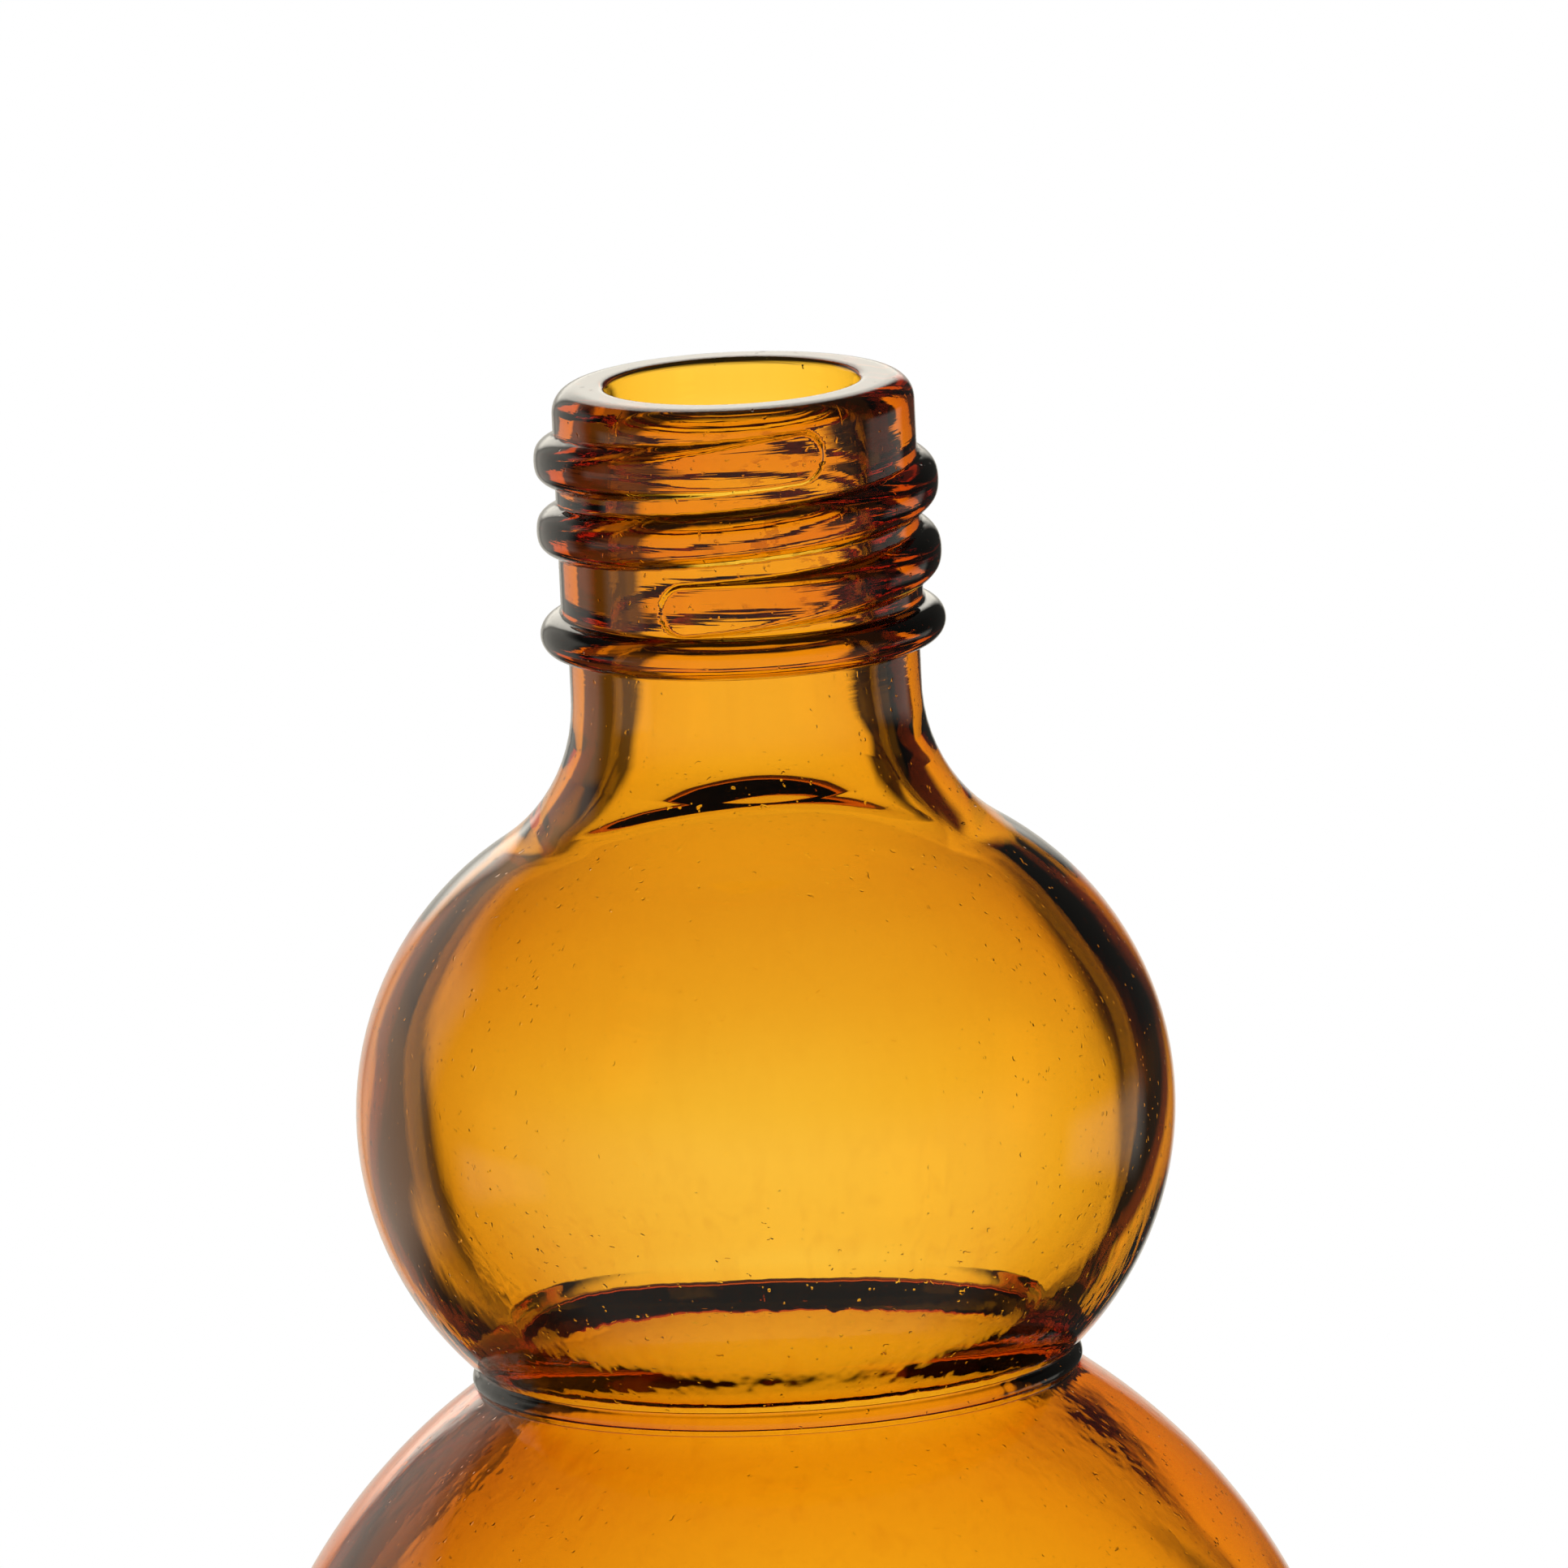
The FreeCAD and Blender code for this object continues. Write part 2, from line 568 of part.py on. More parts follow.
SUB_PARTS = [bottle]
os.makedirs("parts", exist_ok=True)
for part in SUB_PARTS:
    shape = part.Shape
    if shape.isNull() or not shape.isValid():
        raise RuntimeError("%s has no valid shape" % part.Label)
    if len(shape.Solids) != 1:
        raise RuntimeError("%s should be one solid" % part.Label)
    box = shape.BoundBox
    print("%s: %.2f x %.2f x %.2f mm, %.1f cm3 of glass, %d faces"
          % (part.Label, box.XLength, box.YLength, box.ZLength,
             shape.Volume / 1000, len(shape.Faces)))
for part in SUB_PARTS:
    part.Shape.exportStep(os.path.join("parts", part.Label + ".step"))
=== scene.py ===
# %% [markdown]
# # An amber gourd bottle, and how to light glass
# The object is one piece of moulded amber glass. A small round lobe stands on a large one,
# with a thin collar round the waist between them, a short neck, a ring called the transfer
# bead, and a screw thread under a thick lip. This lesson builds the glass as one closed
# mesh with a real inside, gives it the marks that a mould leaves, and lights it the way
# glass is lit: from behind, by a bright column with darkness on both sides.

# %% Tools, the frame and the box of the plain solids
import json
import math
import bpy
import numpy as np
from mathutils import Matrix, Vector


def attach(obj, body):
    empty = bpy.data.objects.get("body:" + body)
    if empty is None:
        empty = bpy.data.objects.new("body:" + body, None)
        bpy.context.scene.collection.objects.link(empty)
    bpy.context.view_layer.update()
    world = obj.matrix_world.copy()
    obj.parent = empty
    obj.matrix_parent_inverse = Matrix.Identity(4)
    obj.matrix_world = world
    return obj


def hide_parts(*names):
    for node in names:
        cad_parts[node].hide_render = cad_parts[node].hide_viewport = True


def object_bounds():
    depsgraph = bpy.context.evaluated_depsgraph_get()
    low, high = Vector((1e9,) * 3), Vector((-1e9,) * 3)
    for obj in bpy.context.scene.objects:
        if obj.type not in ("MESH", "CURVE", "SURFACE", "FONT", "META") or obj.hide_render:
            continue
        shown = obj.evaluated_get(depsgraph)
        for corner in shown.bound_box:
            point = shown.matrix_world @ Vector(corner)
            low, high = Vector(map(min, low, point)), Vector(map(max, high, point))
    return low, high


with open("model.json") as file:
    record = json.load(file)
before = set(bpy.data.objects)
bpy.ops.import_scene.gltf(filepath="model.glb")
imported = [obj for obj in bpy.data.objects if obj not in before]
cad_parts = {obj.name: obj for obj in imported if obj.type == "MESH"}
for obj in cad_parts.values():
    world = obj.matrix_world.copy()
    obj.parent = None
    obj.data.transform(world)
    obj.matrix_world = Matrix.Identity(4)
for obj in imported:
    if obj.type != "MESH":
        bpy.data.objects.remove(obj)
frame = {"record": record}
cad_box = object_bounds()
MM = 0.001
LIP = cad_box[1].z / MM
print("bottle %.2f mm tall and %.2f mm wide" % (LIP, 2 * cad_box[1].x / MM))

# %% [markdown]
# ## Camera
# The bottle is seen close up from a little above the lip, through a long lens, so near and
# far parts keep the same scale. The view is tilted slightly, as a hand-held shot is, and it
# crops the large lobe. Distances are in millimetres from the axis or below the lip.

# %% Camera
CAMERA_DISTANCE = 1500.0
CAMERA_ELEVATION = 10.956
CAMERA_ROLL = 2.669
AIM_BELOW_LIP, AIM_ASIDE = 18.02, 1.46
LENS = 785.7
CLIP_NEAR, CLIP_FAR = 0.1, 10.0


def make_camera():
    """A long lens that looks along +Y and down, tilted about its own axis."""
    rise = math.radians(CAMERA_ELEVATION)
    roll = math.radians(CAMERA_ROLL)
    back = Vector((0, -math.cos(rise), math.sin(rise)))
    level_up = Vector((0, math.sin(rise), math.cos(rise)))
    level_right = Vector((1, 0, 0))
    up = level_up * math.cos(roll) + level_right * math.sin(roll)
    right = level_right * math.cos(roll) - level_up * math.sin(roll)
    aim = Vector((0, 0, LIP - AIM_BELOW_LIP)) + right * AIM_ASIDE
    camera = bpy.data.objects.new("camera", bpy.data.cameras.new("camera"))
    bpy.context.scene.collection.objects.link(camera)
    camera.data.lens = LENS
    camera.data.clip_start = CLIP_NEAR
    camera.data.clip_end = CLIP_FAR
    place = Matrix.Translation((aim + back * CAMERA_DISTANCE) * MM)
    camera.matrix_world = place @ Matrix((right, up, back)).transposed().to_4x4()
    bpy.context.scene.camera = camera
    return camera


camera = make_camera()
bpy.context.scene.view_settings.view_transform = "Standard"
print("camera at", [round(value, 3) for value in camera.matrix_world.translation])

# %% [markdown]
# ## Sizes of the glass
# Everything is in millimetres. R means a radius about the axis, ROUND the radius of a
# rounding, RISE a height from one level to the next, and PROUD how far a ring stands out.
# The throat that joins the lobes differs between the front and the back, because blown
# glass runs unevenly where the two lobes pinch it. The bore comes from the frame's record.

# %% Sizes of the glass
LOWER_R, LOWER_EQUATOR = cad_box[1].x / MM, 19.6
BASE_R, HEEL_ROUND = 15.5, 3.0
PUSHUP_R, PUSHUP_DEPTH = 11.0, 1.4
LOWER_RISE, WAIST_R = 22.4, 13.1
COLLAR_PROUD, COLLAR_HEIGHT = 0.35, 0.95
UPPER_RISE, UPPER_R, UPPER_ROUND = 11.0, 18.0, 14.3
SHOULDER_ROUND, NECK_R, NECK_STRAIGHT = 7.6, 7.7, 2.1
BEAD_PROUD, BEAD_HEIGHT = 0.95, 1.75
FINISH_R = 7.95
LIP_ROUND, BORE_ROUND = 1.1, 0.3
UPPER_WALL, LOWER_WALL, SHOULDER_WALL = 1.4, 1.9, 1.5
FRONT_THROAT = {"r": 10.4, "drop": 0.15, "over": 3.2, "under": 2.1}
BACK_THROAT = {"r": 11.8, "drop": 0.45, "over": 5.0, "under": 2.5}
FLOOR_THICK, FLOOR_ROUND = 2.6, 4.0
BORE_R = next(mount["dims"]["r_mm"] for mount in frame["record"]["mounts"]
              if mount["name"] == "neck_bore")

WAIST_BOTTOM = LOWER_EQUATOR + LOWER_RISE
WAIST_TOP = WAIST_BOTTOM + COLLAR_HEIGHT
UPPER_EQUATOR = WAIST_TOP + UPPER_RISE
print("waist at %.2f mm, upper equator at %.2f mm" % (WAIST_BOTTOM, UPPER_EQUATOR))

# %% [markdown]
# ## Arcs and lines
# A bottle like this is a profile turned about its axis. A free curve could draw the
# profile, but a mould is cut to arcs and lines, and an arc needs only its centre and its
# two ends, so a chain of them is exact and easy to change. Each piece leaves out its last
# point, which is the first point of the next piece.

# %% Arcs and lines
STEP = 0.02


def arc_radius(run, rise):
    """Radius of an arc that leaves an equator upright and ends run nearer, rise away."""
    return (run ** 2 + rise ** 2) / (2 * run)


def crown_radius(height, proud):
    """Radius of a round ring that is height wide at its root and stands proud."""
    return ((height / 2) ** 2 + proud ** 2) / (2 * proud)


def towards(centre, target, distance):
    """The point at a distance from centre, in the direction of target."""
    step = np.subtract(target, centre)
    return tuple(np.add(centre, step * distance / np.linalg.norm(step)))


def meeting(centre_a, reach_a, centre_b, reach_b):
    """Where two circles cross, on the side away from the axis."""
    across = np.subtract(centre_b, centre_a)
    gap = np.linalg.norm(across)
    along = (reach_a ** 2 - reach_b ** 2 + gap ** 2) / (2 * gap)
    aside = math.sqrt(reach_a ** 2 - along ** 2)
    unit = across / gap
    foot = np.add(centre_a, unit * along)
    turned = np.array((-unit[1], unit[0]))
    return max(tuple(foot + turned * aside), tuple(foot - turned * aside))


def line(first, last):
    """Evenly spaced points from first up to, but without, last."""
    count = max(1, int(np.linalg.norm(np.subtract(last, first)) / STEP))
    share = np.arange(count)[:, None] / count
    return np.array(first) * (1 - share) + np.array(last) * share


def arc(centre, first, last):
    """Points on the short arc about centre, from first up to, but without, last."""
    radius = np.linalg.norm(np.subtract(first, centre))
    start = math.atan2(first[1] - centre[1], first[0] - centre[0])
    turn = math.atan2(last[1] - centre[1], last[0] - centre[0]) - start
    turn = (turn + math.pi) % (2 * math.pi) - math.pi
    count = max(1, int(abs(turn) * radius / STEP))
    angle = start + turn * np.arange(count) / count
    return np.stack((centre[0] + radius * np.cos(angle),
                     centre[1] + radius * np.sin(angle)), 1)


print("a quarter of a 1 mm arc takes %d points" % len(arc((0, 0), (1, 0), (0, 1))))

# %% [markdown]
# ## Outside of the glass
# The lobes are arcs that stand upright at their widest circle, called the equator. The
# shoulder is a hollow arc that runs into the straight neck. Collar and bead are parts of
# small circles. The walk starts at the hollow under the base and ends on the lip's flat.


# %% Outside profile
def outside_profile():
    """From the middle of the hollow under the base up to the flat of the lip."""
    dome = arc_radius(PUSHUP_DEPTH, PUSHUP_R)
    foot = arc_radius(LOWER_R - BASE_R, LOWER_EQUATOR)
    belly = arc_radius(LOWER_R - WAIST_R, LOWER_RISE)
    bowl = arc_radius(UPPER_R - WAIST_R, UPPER_RISE)
    foot_centre = (LOWER_R - foot, LOWER_EQUATOR)
    heel_x = foot_centre[0] + math.sqrt(
        (foot - HEEL_ROUND) ** 2 - (LOWER_EQUATOR - HEEL_ROUND) ** 2)
    heel_centre = (heel_x, HEEL_ROUND)
    heel_top = towards(foot_centre, heel_centre, foot)
    collar = crown_radius(COLLAR_HEIGHT, COLLAR_PROUD)
    collar_centre = (WAIST_R + COLLAR_PROUD - collar, WAIST_BOTTOM + COLLAR_HEIGHT / 2)
    collar_crest = (WAIST_R + COLLAR_PROUD, collar_centre[1])
    upper_centre = (UPPER_R - UPPER_ROUND, UPPER_EQUATOR)
    shoulder_x = NECK_R + SHOULDER_ROUND
    shoulder_rise = math.sqrt(
        (SHOULDER_ROUND + UPPER_ROUND) ** 2 - (shoulder_x - upper_centre[0]) ** 2)
    shoulder_centre = (shoulder_x, UPPER_EQUATOR + shoulder_rise)
    shoulder_low = towards(upper_centre, shoulder_centre, UPPER_ROUND)
    neck_top = shoulder_centre[1] + NECK_STRAIGHT
    bead = crown_radius(BEAD_HEIGHT, BEAD_PROUD)
    bead_centre = (FINISH_R + BEAD_PROUD - bead, neck_top + BEAD_HEIGHT / 2)
    bead_crest = (FINISH_R + BEAD_PROUD, bead_centre[1])
    bead_low = (bead_centre[0], bead_centre[1] - bead)
    bead_high = (bead_centre[0], bead_centre[1] + bead)
    corner = (FINISH_R - LIP_ROUND, LIP - LIP_ROUND)
    parts = [
        arc((0, PUSHUP_DEPTH - dome), (0, PUSHUP_DEPTH), (PUSHUP_R, 0)),
        line((PUSHUP_R, 0), (heel_x, 0)),
        arc(heel_centre, (heel_x, 0), heel_top),
        arc(foot_centre, heel_top, (LOWER_R, LOWER_EQUATOR)),
        arc((LOWER_R - belly, LOWER_EQUATOR), (LOWER_R, LOWER_EQUATOR),
            (WAIST_R, WAIST_BOTTOM)),
        arc(collar_centre, (WAIST_R, WAIST_BOTTOM), collar_crest),
        arc(collar_centre, collar_crest, (WAIST_R, WAIST_TOP)),
        arc((UPPER_R - bowl, UPPER_EQUATOR), (WAIST_R, WAIST_TOP), (UPPER_R, UPPER_EQUATOR)),
        arc(upper_centre, (UPPER_R, UPPER_EQUATOR), shoulder_low),
        arc(shoulder_centre, shoulder_low, (NECK_R, shoulder_centre[1])),
        line((NECK_R, shoulder_centre[1]), (NECK_R, bead_low[1])),
        line((NECK_R, bead_low[1]), bead_low),
        arc(bead_centre, bead_low, bead_crest),
        arc(bead_centre, bead_crest, bead_high),
        line(bead_high, (FINISH_R, bead_high[1])),
        line((FINISH_R, bead_high[1]), (FINISH_R, corner[1])),
        arc(corner, (FINISH_R, corner[1]), (corner[0], LIP)),
    ]
    return parts, bead_high[1]


outside, FINISH_BOTTOM = outside_profile()
outer_count = sum(len(part) for part in outside)
print("outside: %d points, finish from %.2f mm up" % (outer_count, FINISH_BOTTOM))

# %% [markdown]
# ## Inside of the glass
# A Solidify modifier would give an even wall, but this glass is thick at the waist, the
# shoulder and the floor, and that is what makes it dark there. So the cavity is a profile
# of its own. It keeps the wall's thickness inside both lobes, and a rounded throat joins
# them. The bore runs straight from the lip to the neck, where the inside opens out. The
# same walk is made twice, once with the front's throat and once with the back's.


# %% Inside profile
def lobe_round(reach, rise, throat_r, rounding):
    """Radius of a lobe's inner arc that leaves its equator upright and meets the throat."""
    run = reach - throat_r - rounding
    return (run ** 2 + rise ** 2 - rounding ** 2) / (2 * (run + rounding))


def inside_profile(throat):
    """From the flat of the lip down the bore and both lobes to the middle of the floor."""
    high, wide = (UPPER_R - UPPER_WALL, UPPER_EQUATOR), (LOWER_R - LOWER_WALL, LOWER_EQUATOR)
    narrow = (throat["r"], WAIST_BOTTOM - throat["drop"])
    above_centre = (throat["r"] + throat["over"], narrow[1])
    below_centre = (throat["r"] + throat["under"], narrow[1])
    bowl = lobe_round(high[0], high[1] - narrow[1], throat["r"], throat["over"])
    belly = lobe_round(wide[0], narrow[1] - wide[1], throat["r"], throat["under"])
    foot = arc_radius(LOWER_R - BASE_R, LOWER_EQUATOR) - LOWER_WALL
    upper = UPPER_ROUND - UPPER_WALL
    shoulder = SHOULDER_ROUND + SHOULDER_WALL
    dome = arc_radius(PUSHUP_DEPTH, PUSHUP_R)
    floor = dome + FLOOR_THICK
    upper_centre = (high[0] - upper, high[1])
    bowl_centre, belly_centre = (high[0] - bowl, high[1]), (wide[0] - belly, wide[1])
    foot_centre, floor_centre = (wide[0] - foot, wide[1]), (0, PUSHUP_DEPTH - dome)
    shoulder_x = BORE_R + shoulder
    shoulder_rise = math.sqrt((shoulder + upper) ** 2 - (shoulder_x - upper_centre[0]) ** 2)
    shoulder_centre = (shoulder_x, UPPER_EQUATOR + shoulder_rise)
    shoulder_low = towards(upper_centre, shoulder_centre, upper)
    throat_high = towards(bowl_centre, above_centre, bowl)
    throat_low = towards(belly_centre, below_centre, belly)
    heel_centre = meeting(floor_centre, floor + FLOOR_ROUND, foot_centre, foot - FLOOR_ROUND)
    heel_high = towards(foot_centre, heel_centre, foot)
    heel_low = towards(floor_centre, heel_centre, floor)
    edge = (BORE_R + BORE_ROUND, LIP - BORE_ROUND)
    middle = (0, floor_centre[1] + floor)
    return [
        line((FINISH_R - LIP_ROUND, LIP), (edge[0], LIP)),
        arc(edge, (edge[0], LIP), (BORE_R, edge[1])),
        line((BORE_R, edge[1]), (BORE_R, shoulder_centre[1])),
        arc(shoulder_centre, (BORE_R, shoulder_centre[1]), shoulder_low),
        arc(upper_centre, shoulder_low, high),
        arc(bowl_centre, high, throat_high),
        arc(above_centre, throat_high, narrow),
        arc(below_centre, narrow, throat_low),
        arc(belly_centre, throat_low, wide),
        arc(foot_centre, wide, heel_high),
        arc(heel_centre, heel_high, heel_low),
        arc(floor_centre, heel_low, middle),
        np.array([middle]),
    ]


inside_front = inside_profile(FRONT_THROAT)
inside_back = inside_profile(BACK_THROAT)
print("inside: %d points in front" % sum(len(part) for part in inside_front))

# %% [markdown]
# ## Fire-polish
# Hot glass can't hold a sharp corner. A bevel would need a size for each crease. Averaging
# the dense profile along its own length with a bell curve rounds all of them a little and
# leaves the wide arcs alone. The lobes were blown against air on the inside, so they are
# polished more there than the bore, which a plunger pressed, and the outside, which the
# mould cooled.

# %% Fire-polish the profile
POLISH, INNER_POLISH, BLEND_LENGTH = 0.13, 0.6, 3.0
PRESSED_PARTS, BELL_REACH = 3, 4


def fire_polish(points, width):
    """Rounds the profile with a bell curve this wide, keeping both ends on the axis."""
    reach = int(BELL_REACH * width / STEP)
    offsets = np.arange(-reach, reach + 1) * STEP
    weights = np.exp(-offsets ** 2 / (2 * width ** 2))
    weights /= weights.sum()
    flip = np.array((-1, 1))
    padded = np.concatenate((points[reach:0:-1] * flip, points,
                             points[-2:-reach - 2:-1] * flip))
    return np.stack([np.convolve(padded[:, k], weights, "valid") for k in (0, 1)], 1)


def polished(inner_parts):
    """The whole profile, polished lightly outside and in the bore, and more in the lobes."""
    dense = np.concatenate(outside + inner_parts)
    blown = sum(len(part) for part in outside + inner_parts[:PRESSED_PARTS])
    share = (np.arange(len(dense)) - blown) * STEP / BLEND_LENGTH + 1.0
    share = np.clip(share, 0, 1)[:, None]
    soft = fire_polish(dense, POLISH) * (1 - share) + fire_polish(dense, INNER_POLISH) * share
    soft[0, 0] = soft[-1, 0] = 0
    return soft


profile = polished(inside_front)
profile_back = polished(inside_back)
print("%d points along the whole polished profile" % len(profile))

# %% [markdown]
# ## Rows
# Rows of the mesh are chosen from the dense profile: close together where it bends, where
# the thread lies and where a low ridge crosses the shoulder, and far apart on the plain
# lobes. So the mesh spends its faces where the eye needs them.

# %% Choose the rows
PLAIN_ROW, FINE_ROW, THREAD_ROW = 0.75, 0.045, 0.075
BEND_PER_ROW = math.radians(5.0)
RIDGE_LEVEL, RIDGE_ROW, RIDGE_REACH = 66.6, 0.12, 1.8
ROW_BLEND = 0.4


def choose_rows(points):
    """Where along the profile the rows lie, as fractional positions in the point list."""
    tangent = np.gradient(points, axis=0)
    pace = np.linalg.norm(tangent, axis=1)
    heading = np.unwrap(np.arctan2(tangent[:, 1], tangent[:, 0]))
    bend = np.abs(np.gradient(heading)) / pace
    spacing = np.clip(BEND_PER_ROW / np.maximum(bend, 1e-6), FINE_ROW, PLAIN_ROW)
    on_finish = (points[:, 1] > FINISH_BOTTOM) & (points[:, 0] > FINISH_R - LIP_ROUND)
    spacing = np.where(on_finish, np.minimum(spacing, THREAD_ROW), spacing)
    on_ridge = np.abs(points[:, 1] - RIDGE_LEVEL) < RIDGE_REACH
    on_ridge &= np.arange(len(points)) > outer_count
    spacing = np.where(on_ridge, np.minimum(spacing, RIDGE_ROW), spacing)
    reach = int(ROW_BLEND / STEP)
    spacing = np.array([spacing[max(0, k - reach):k + reach + 1].min()
                        for k in range(len(spacing))])
    travel = np.concatenate(((0,), np.cumsum((pace / spacing)[:-1])))
    count = int(math.ceil(travel[-1]))
    return np.interp(np.linspace(0, travel[-1], count + 1), travel, np.arange(len(points)))


SEGMENTS = 360
rows = choose_rows(profile)
index = np.arange(len(profile))
radius = np.interp(rows, index, profile[:, 0])
height = np.interp(rows, index, profile[:, 1])
outer = rows < outer_count
azimuth = np.arange(SEGMENTS) * 2 * math.pi / SEGMENTS
grid_r = np.repeat(radius[:, None], SEGMENTS, 1)
grid_z = np.repeat(height[:, None], SEGMENTS, 1)
print("%d rows, of which %d lie outside" % (len(rows), outer.sum()))

# %% [markdown]
# ## The screw thread
# A coil joined on by a boolean would leave a seam that clear glass shows. So the thread is
# a height added to the wall's own grid, and wall and ridge are one surface. The ridge winds
# down from its upper end at the front. At each end the mould was cut less and less deep, so
# the ridge loses its round crown first and ends in a low, blunt tongue.
# `full` is the round ridge, `cap` limits how proud it may stand, and `beyond` closes the
# tongue. A smooth maximum rounds the crease where the ridge meets the wall, and outside
# the round part the ridge falls off steeply. Angles are in degrees, from the front.

# %% Screw thread
THREAD_PROUD, THREAD_WIDTH, THREAD_PITCH = 0.95, 2.3, 3.1
THREAD_SWEEP, THREAD_DEPTH, THREAD_FRONT = 770.0, 2.2, 26.0
THREAD_FADE, TIP_PROUD, TIP_BLUNT, TIP_SPARE = 80.0, 0.16, 0.8, 12.0
CAP_ROUND, ROOT_ROUND, THREAD_FALL = 0.25, 0.4, 3.0
ABOVE_BEAD, BELOW_LIP = 0.4, 0.2
LAPS = 4


def smooth_max(first, second, width):
    """The larger of two, with the corner between them rounded."""
    near = np.maximum(width - np.abs(first - second), 0) / width
    return np.maximum(first, second) + near ** 2 * width / 4


def thread_radius(turn_deg, level):
    """How far out the ridge's surface lies, at an azimuth and a height."""
    crown = crown_radius(THREAD_WIDTH, THREAD_PROUD)
    best = np.zeros(np.broadcast(turn_deg, level).shape)
    for lap in range(LAPS):
        along = (THREAD_FRONT - turn_deg) % 360 + 360 * (lap - 1)
        from_end = np.minimum(along, THREAD_SWEEP - along)
        way = np.clip(from_end / THREAD_FADE, 0, 1)
        cap = TIP_PROUD + (THREAD_PROUD - TIP_PROUD) * way * way * (3 - 2 * way)
        beyond = np.maximum(TIP_BLUNT - np.radians(from_end) * FINISH_R, 0)
        middle = LIP - THREAD_DEPTH - THREAD_PITCH * along / 360
        off = np.hypot(level - middle, beyond)
        round_part = np.sqrt(np.maximum(crown ** 2 - off ** 2, 0))
        fall = np.maximum(off - crown, 0) * THREAD_FALL
        full = FINISH_R + THREAD_PROUD - crown + round_part - fall
        ridge = -smooth_max(-full, -(FINISH_R + cap), CAP_ROUND)
        best = np.where(from_end > -TIP_SPARE, np.maximum(best, ridge), best)
    return best


front_turn = np.degrees(np.arctan2(np.cos(azimuth), -np.sin(azimuth)))
with_thread = outer & (height > FINISH_BOTTOM - ABOVE_BEAD) & (height < LIP - BELOW_LIP)
thread = thread_radius(front_turn[None, :], height[with_thread][:, None])
grid_r[with_thread] = smooth_max(grid_r[with_thread], thread, ROOT_ROUND)
print("thread crest at %.2f mm from the axis" % grid_r[with_thread].max())

# %% [markdown]
# ## Front and back
# A turned body is the same all round, and blown glass isn't. The inside is blended round
# the bottle from the front's profile to the back's, so the throat is narrower in front. The
# collar is crisp in front, where the mould pressed it, and softer at the back.

# %% Blend the front into the back
LOBE_FLOOR, LOBE_TOP, MARGIN = 12.0, 62.0, 3.0
COLLAR_LOW, COLLAR_HIGH = 38.0, 48.0
SOFT_WIDTH, SOFT_SHARE, SOFT_STEEP, SOFT_START = 0.6, 0.85, 2.0, 0.2


def between(level, low, high):
    """True where a level lies between two others."""
    return (level > low) & (level < high)


back_inner = profile_back[outer_count:]
back_inner = back_inner[between(back_inner[:, 1], LOBE_FLOOR - MARGIN, LOBE_TOP + MARGIN)]
order = np.argsort(back_inner[:, 1])
radius_back = np.interp(height, back_inner[order, 1], back_inner[order, 0])
in_lobes = ~outer & between(height, LOBE_FLOOR, LOBE_TOP)
towards_back = 0.5 + 0.5 * np.sin(azimuth)
grid_r[in_lobes] += ((radius_back - radius)[:, None] * towards_back[None, :])[in_lobes]

soft = fire_polish(np.concatenate(outside), SOFT_WIDTH)
soft = soft[between(soft[:, 1], COLLAR_LOW - MARGIN, COLLAR_HIGH + MARGIN)]
radius_soft = np.interp(height, soft[:, 1], soft[:, 0])
on_collar = outer & between(height, COLLAR_LOW, COLLAR_HIGH)
at_back = np.clip(np.sin(azimuth) * SOFT_STEEP + SOFT_START, 0, 1) * SOFT_SHARE
grid_r[on_collar] += ((radius_soft - radius)[:, None] * at_back[None, :])[on_collar]
print("throat from %.1f to %.1f mm" % (FRONT_THROAT["r"], BACK_THROAT["r"]))

# %% [markdown]
# ## Uneven glass
# Blown glass is never even. The wall swells in slow waves, is thicker at both sides and
# under the shoulder, and thinner round the middle of the large lobe. The bore opens a
# little inside the finish. All of it is added to the inner wall only, so the outline stays.
# Sums of sines do this without a texture and are the same on each run. Each wave has a
# height, a count round the bottle, a pace up the bottle and a start.

# %% Slow waves, thick and thin places
WAVES = ((0.05, 2, 3.1, 0), (0.035, 3, -4.3, 1), (0.025, 5, 2.3, 2))
SIDES_THICKER = 0.17
WAVES_BOTTOM, WAVES_FADE_IN, WAVES_TOP, WAVES_FADE_OUT = 6.0, 15.0, 66.0, 10.0
LOWER_THINNER, LOWER_LEVEL, LOWER_SPREAD, LOWER_TURN = 0.3, 30.0, 9.0, 1.2
SHOULDER_THICKER, SHOULDER_LEVEL, SHOULDER_SPREAD = 0.3, 62.0, 2.4
BORE_WIDER, BORE_LOW, BORE_FADE_IN, BORE_HIGH, BORE_FADE_OUT = 0.26, 69.0, 2.0, 85.0, 1.5


def bump_at(level, centre, width):
    """A bell shape along the height."""
    return np.exp(-((level - centre) / width) ** 2 / 2)


def stretch_between(level, low, fade_in, high, fade_out):
    """1 between two heights, fading in straight from low and out straight to high."""
    return np.clip((level - low) / fade_in, 0, 1) * np.clip((high - level) / fade_out, 0, 1)


level = grid_z[~outer]
angle = np.broadcast_to(azimuth, grid_z.shape)[~outer]
waves = sum(high * np.sin(count * angle + level / pace + start)
            for high, count, pace, start in WAVES)
push = waves - SIDES_THICKER * np.cos(angle) ** 2
push *= stretch_between(level, WAVES_BOTTOM, WAVES_FADE_IN, WAVES_TOP, WAVES_FADE_OUT)
push += (LOWER_THINNER * bump_at(level, LOWER_LEVEL, LOWER_SPREAD)
         * np.clip(LOWER_TURN + np.cos(angle), 0, 1))
push -= SHOULDER_THICKER * bump_at(level, SHOULDER_LEVEL, SHOULDER_SPREAD)
push += BORE_WIDER * stretch_between(level, BORE_LOW, BORE_FADE_IN, BORE_HIGH, BORE_FADE_OUT)
print("inner wall moved by %.2f to %.2f mm" % (push.min(), push.max()))

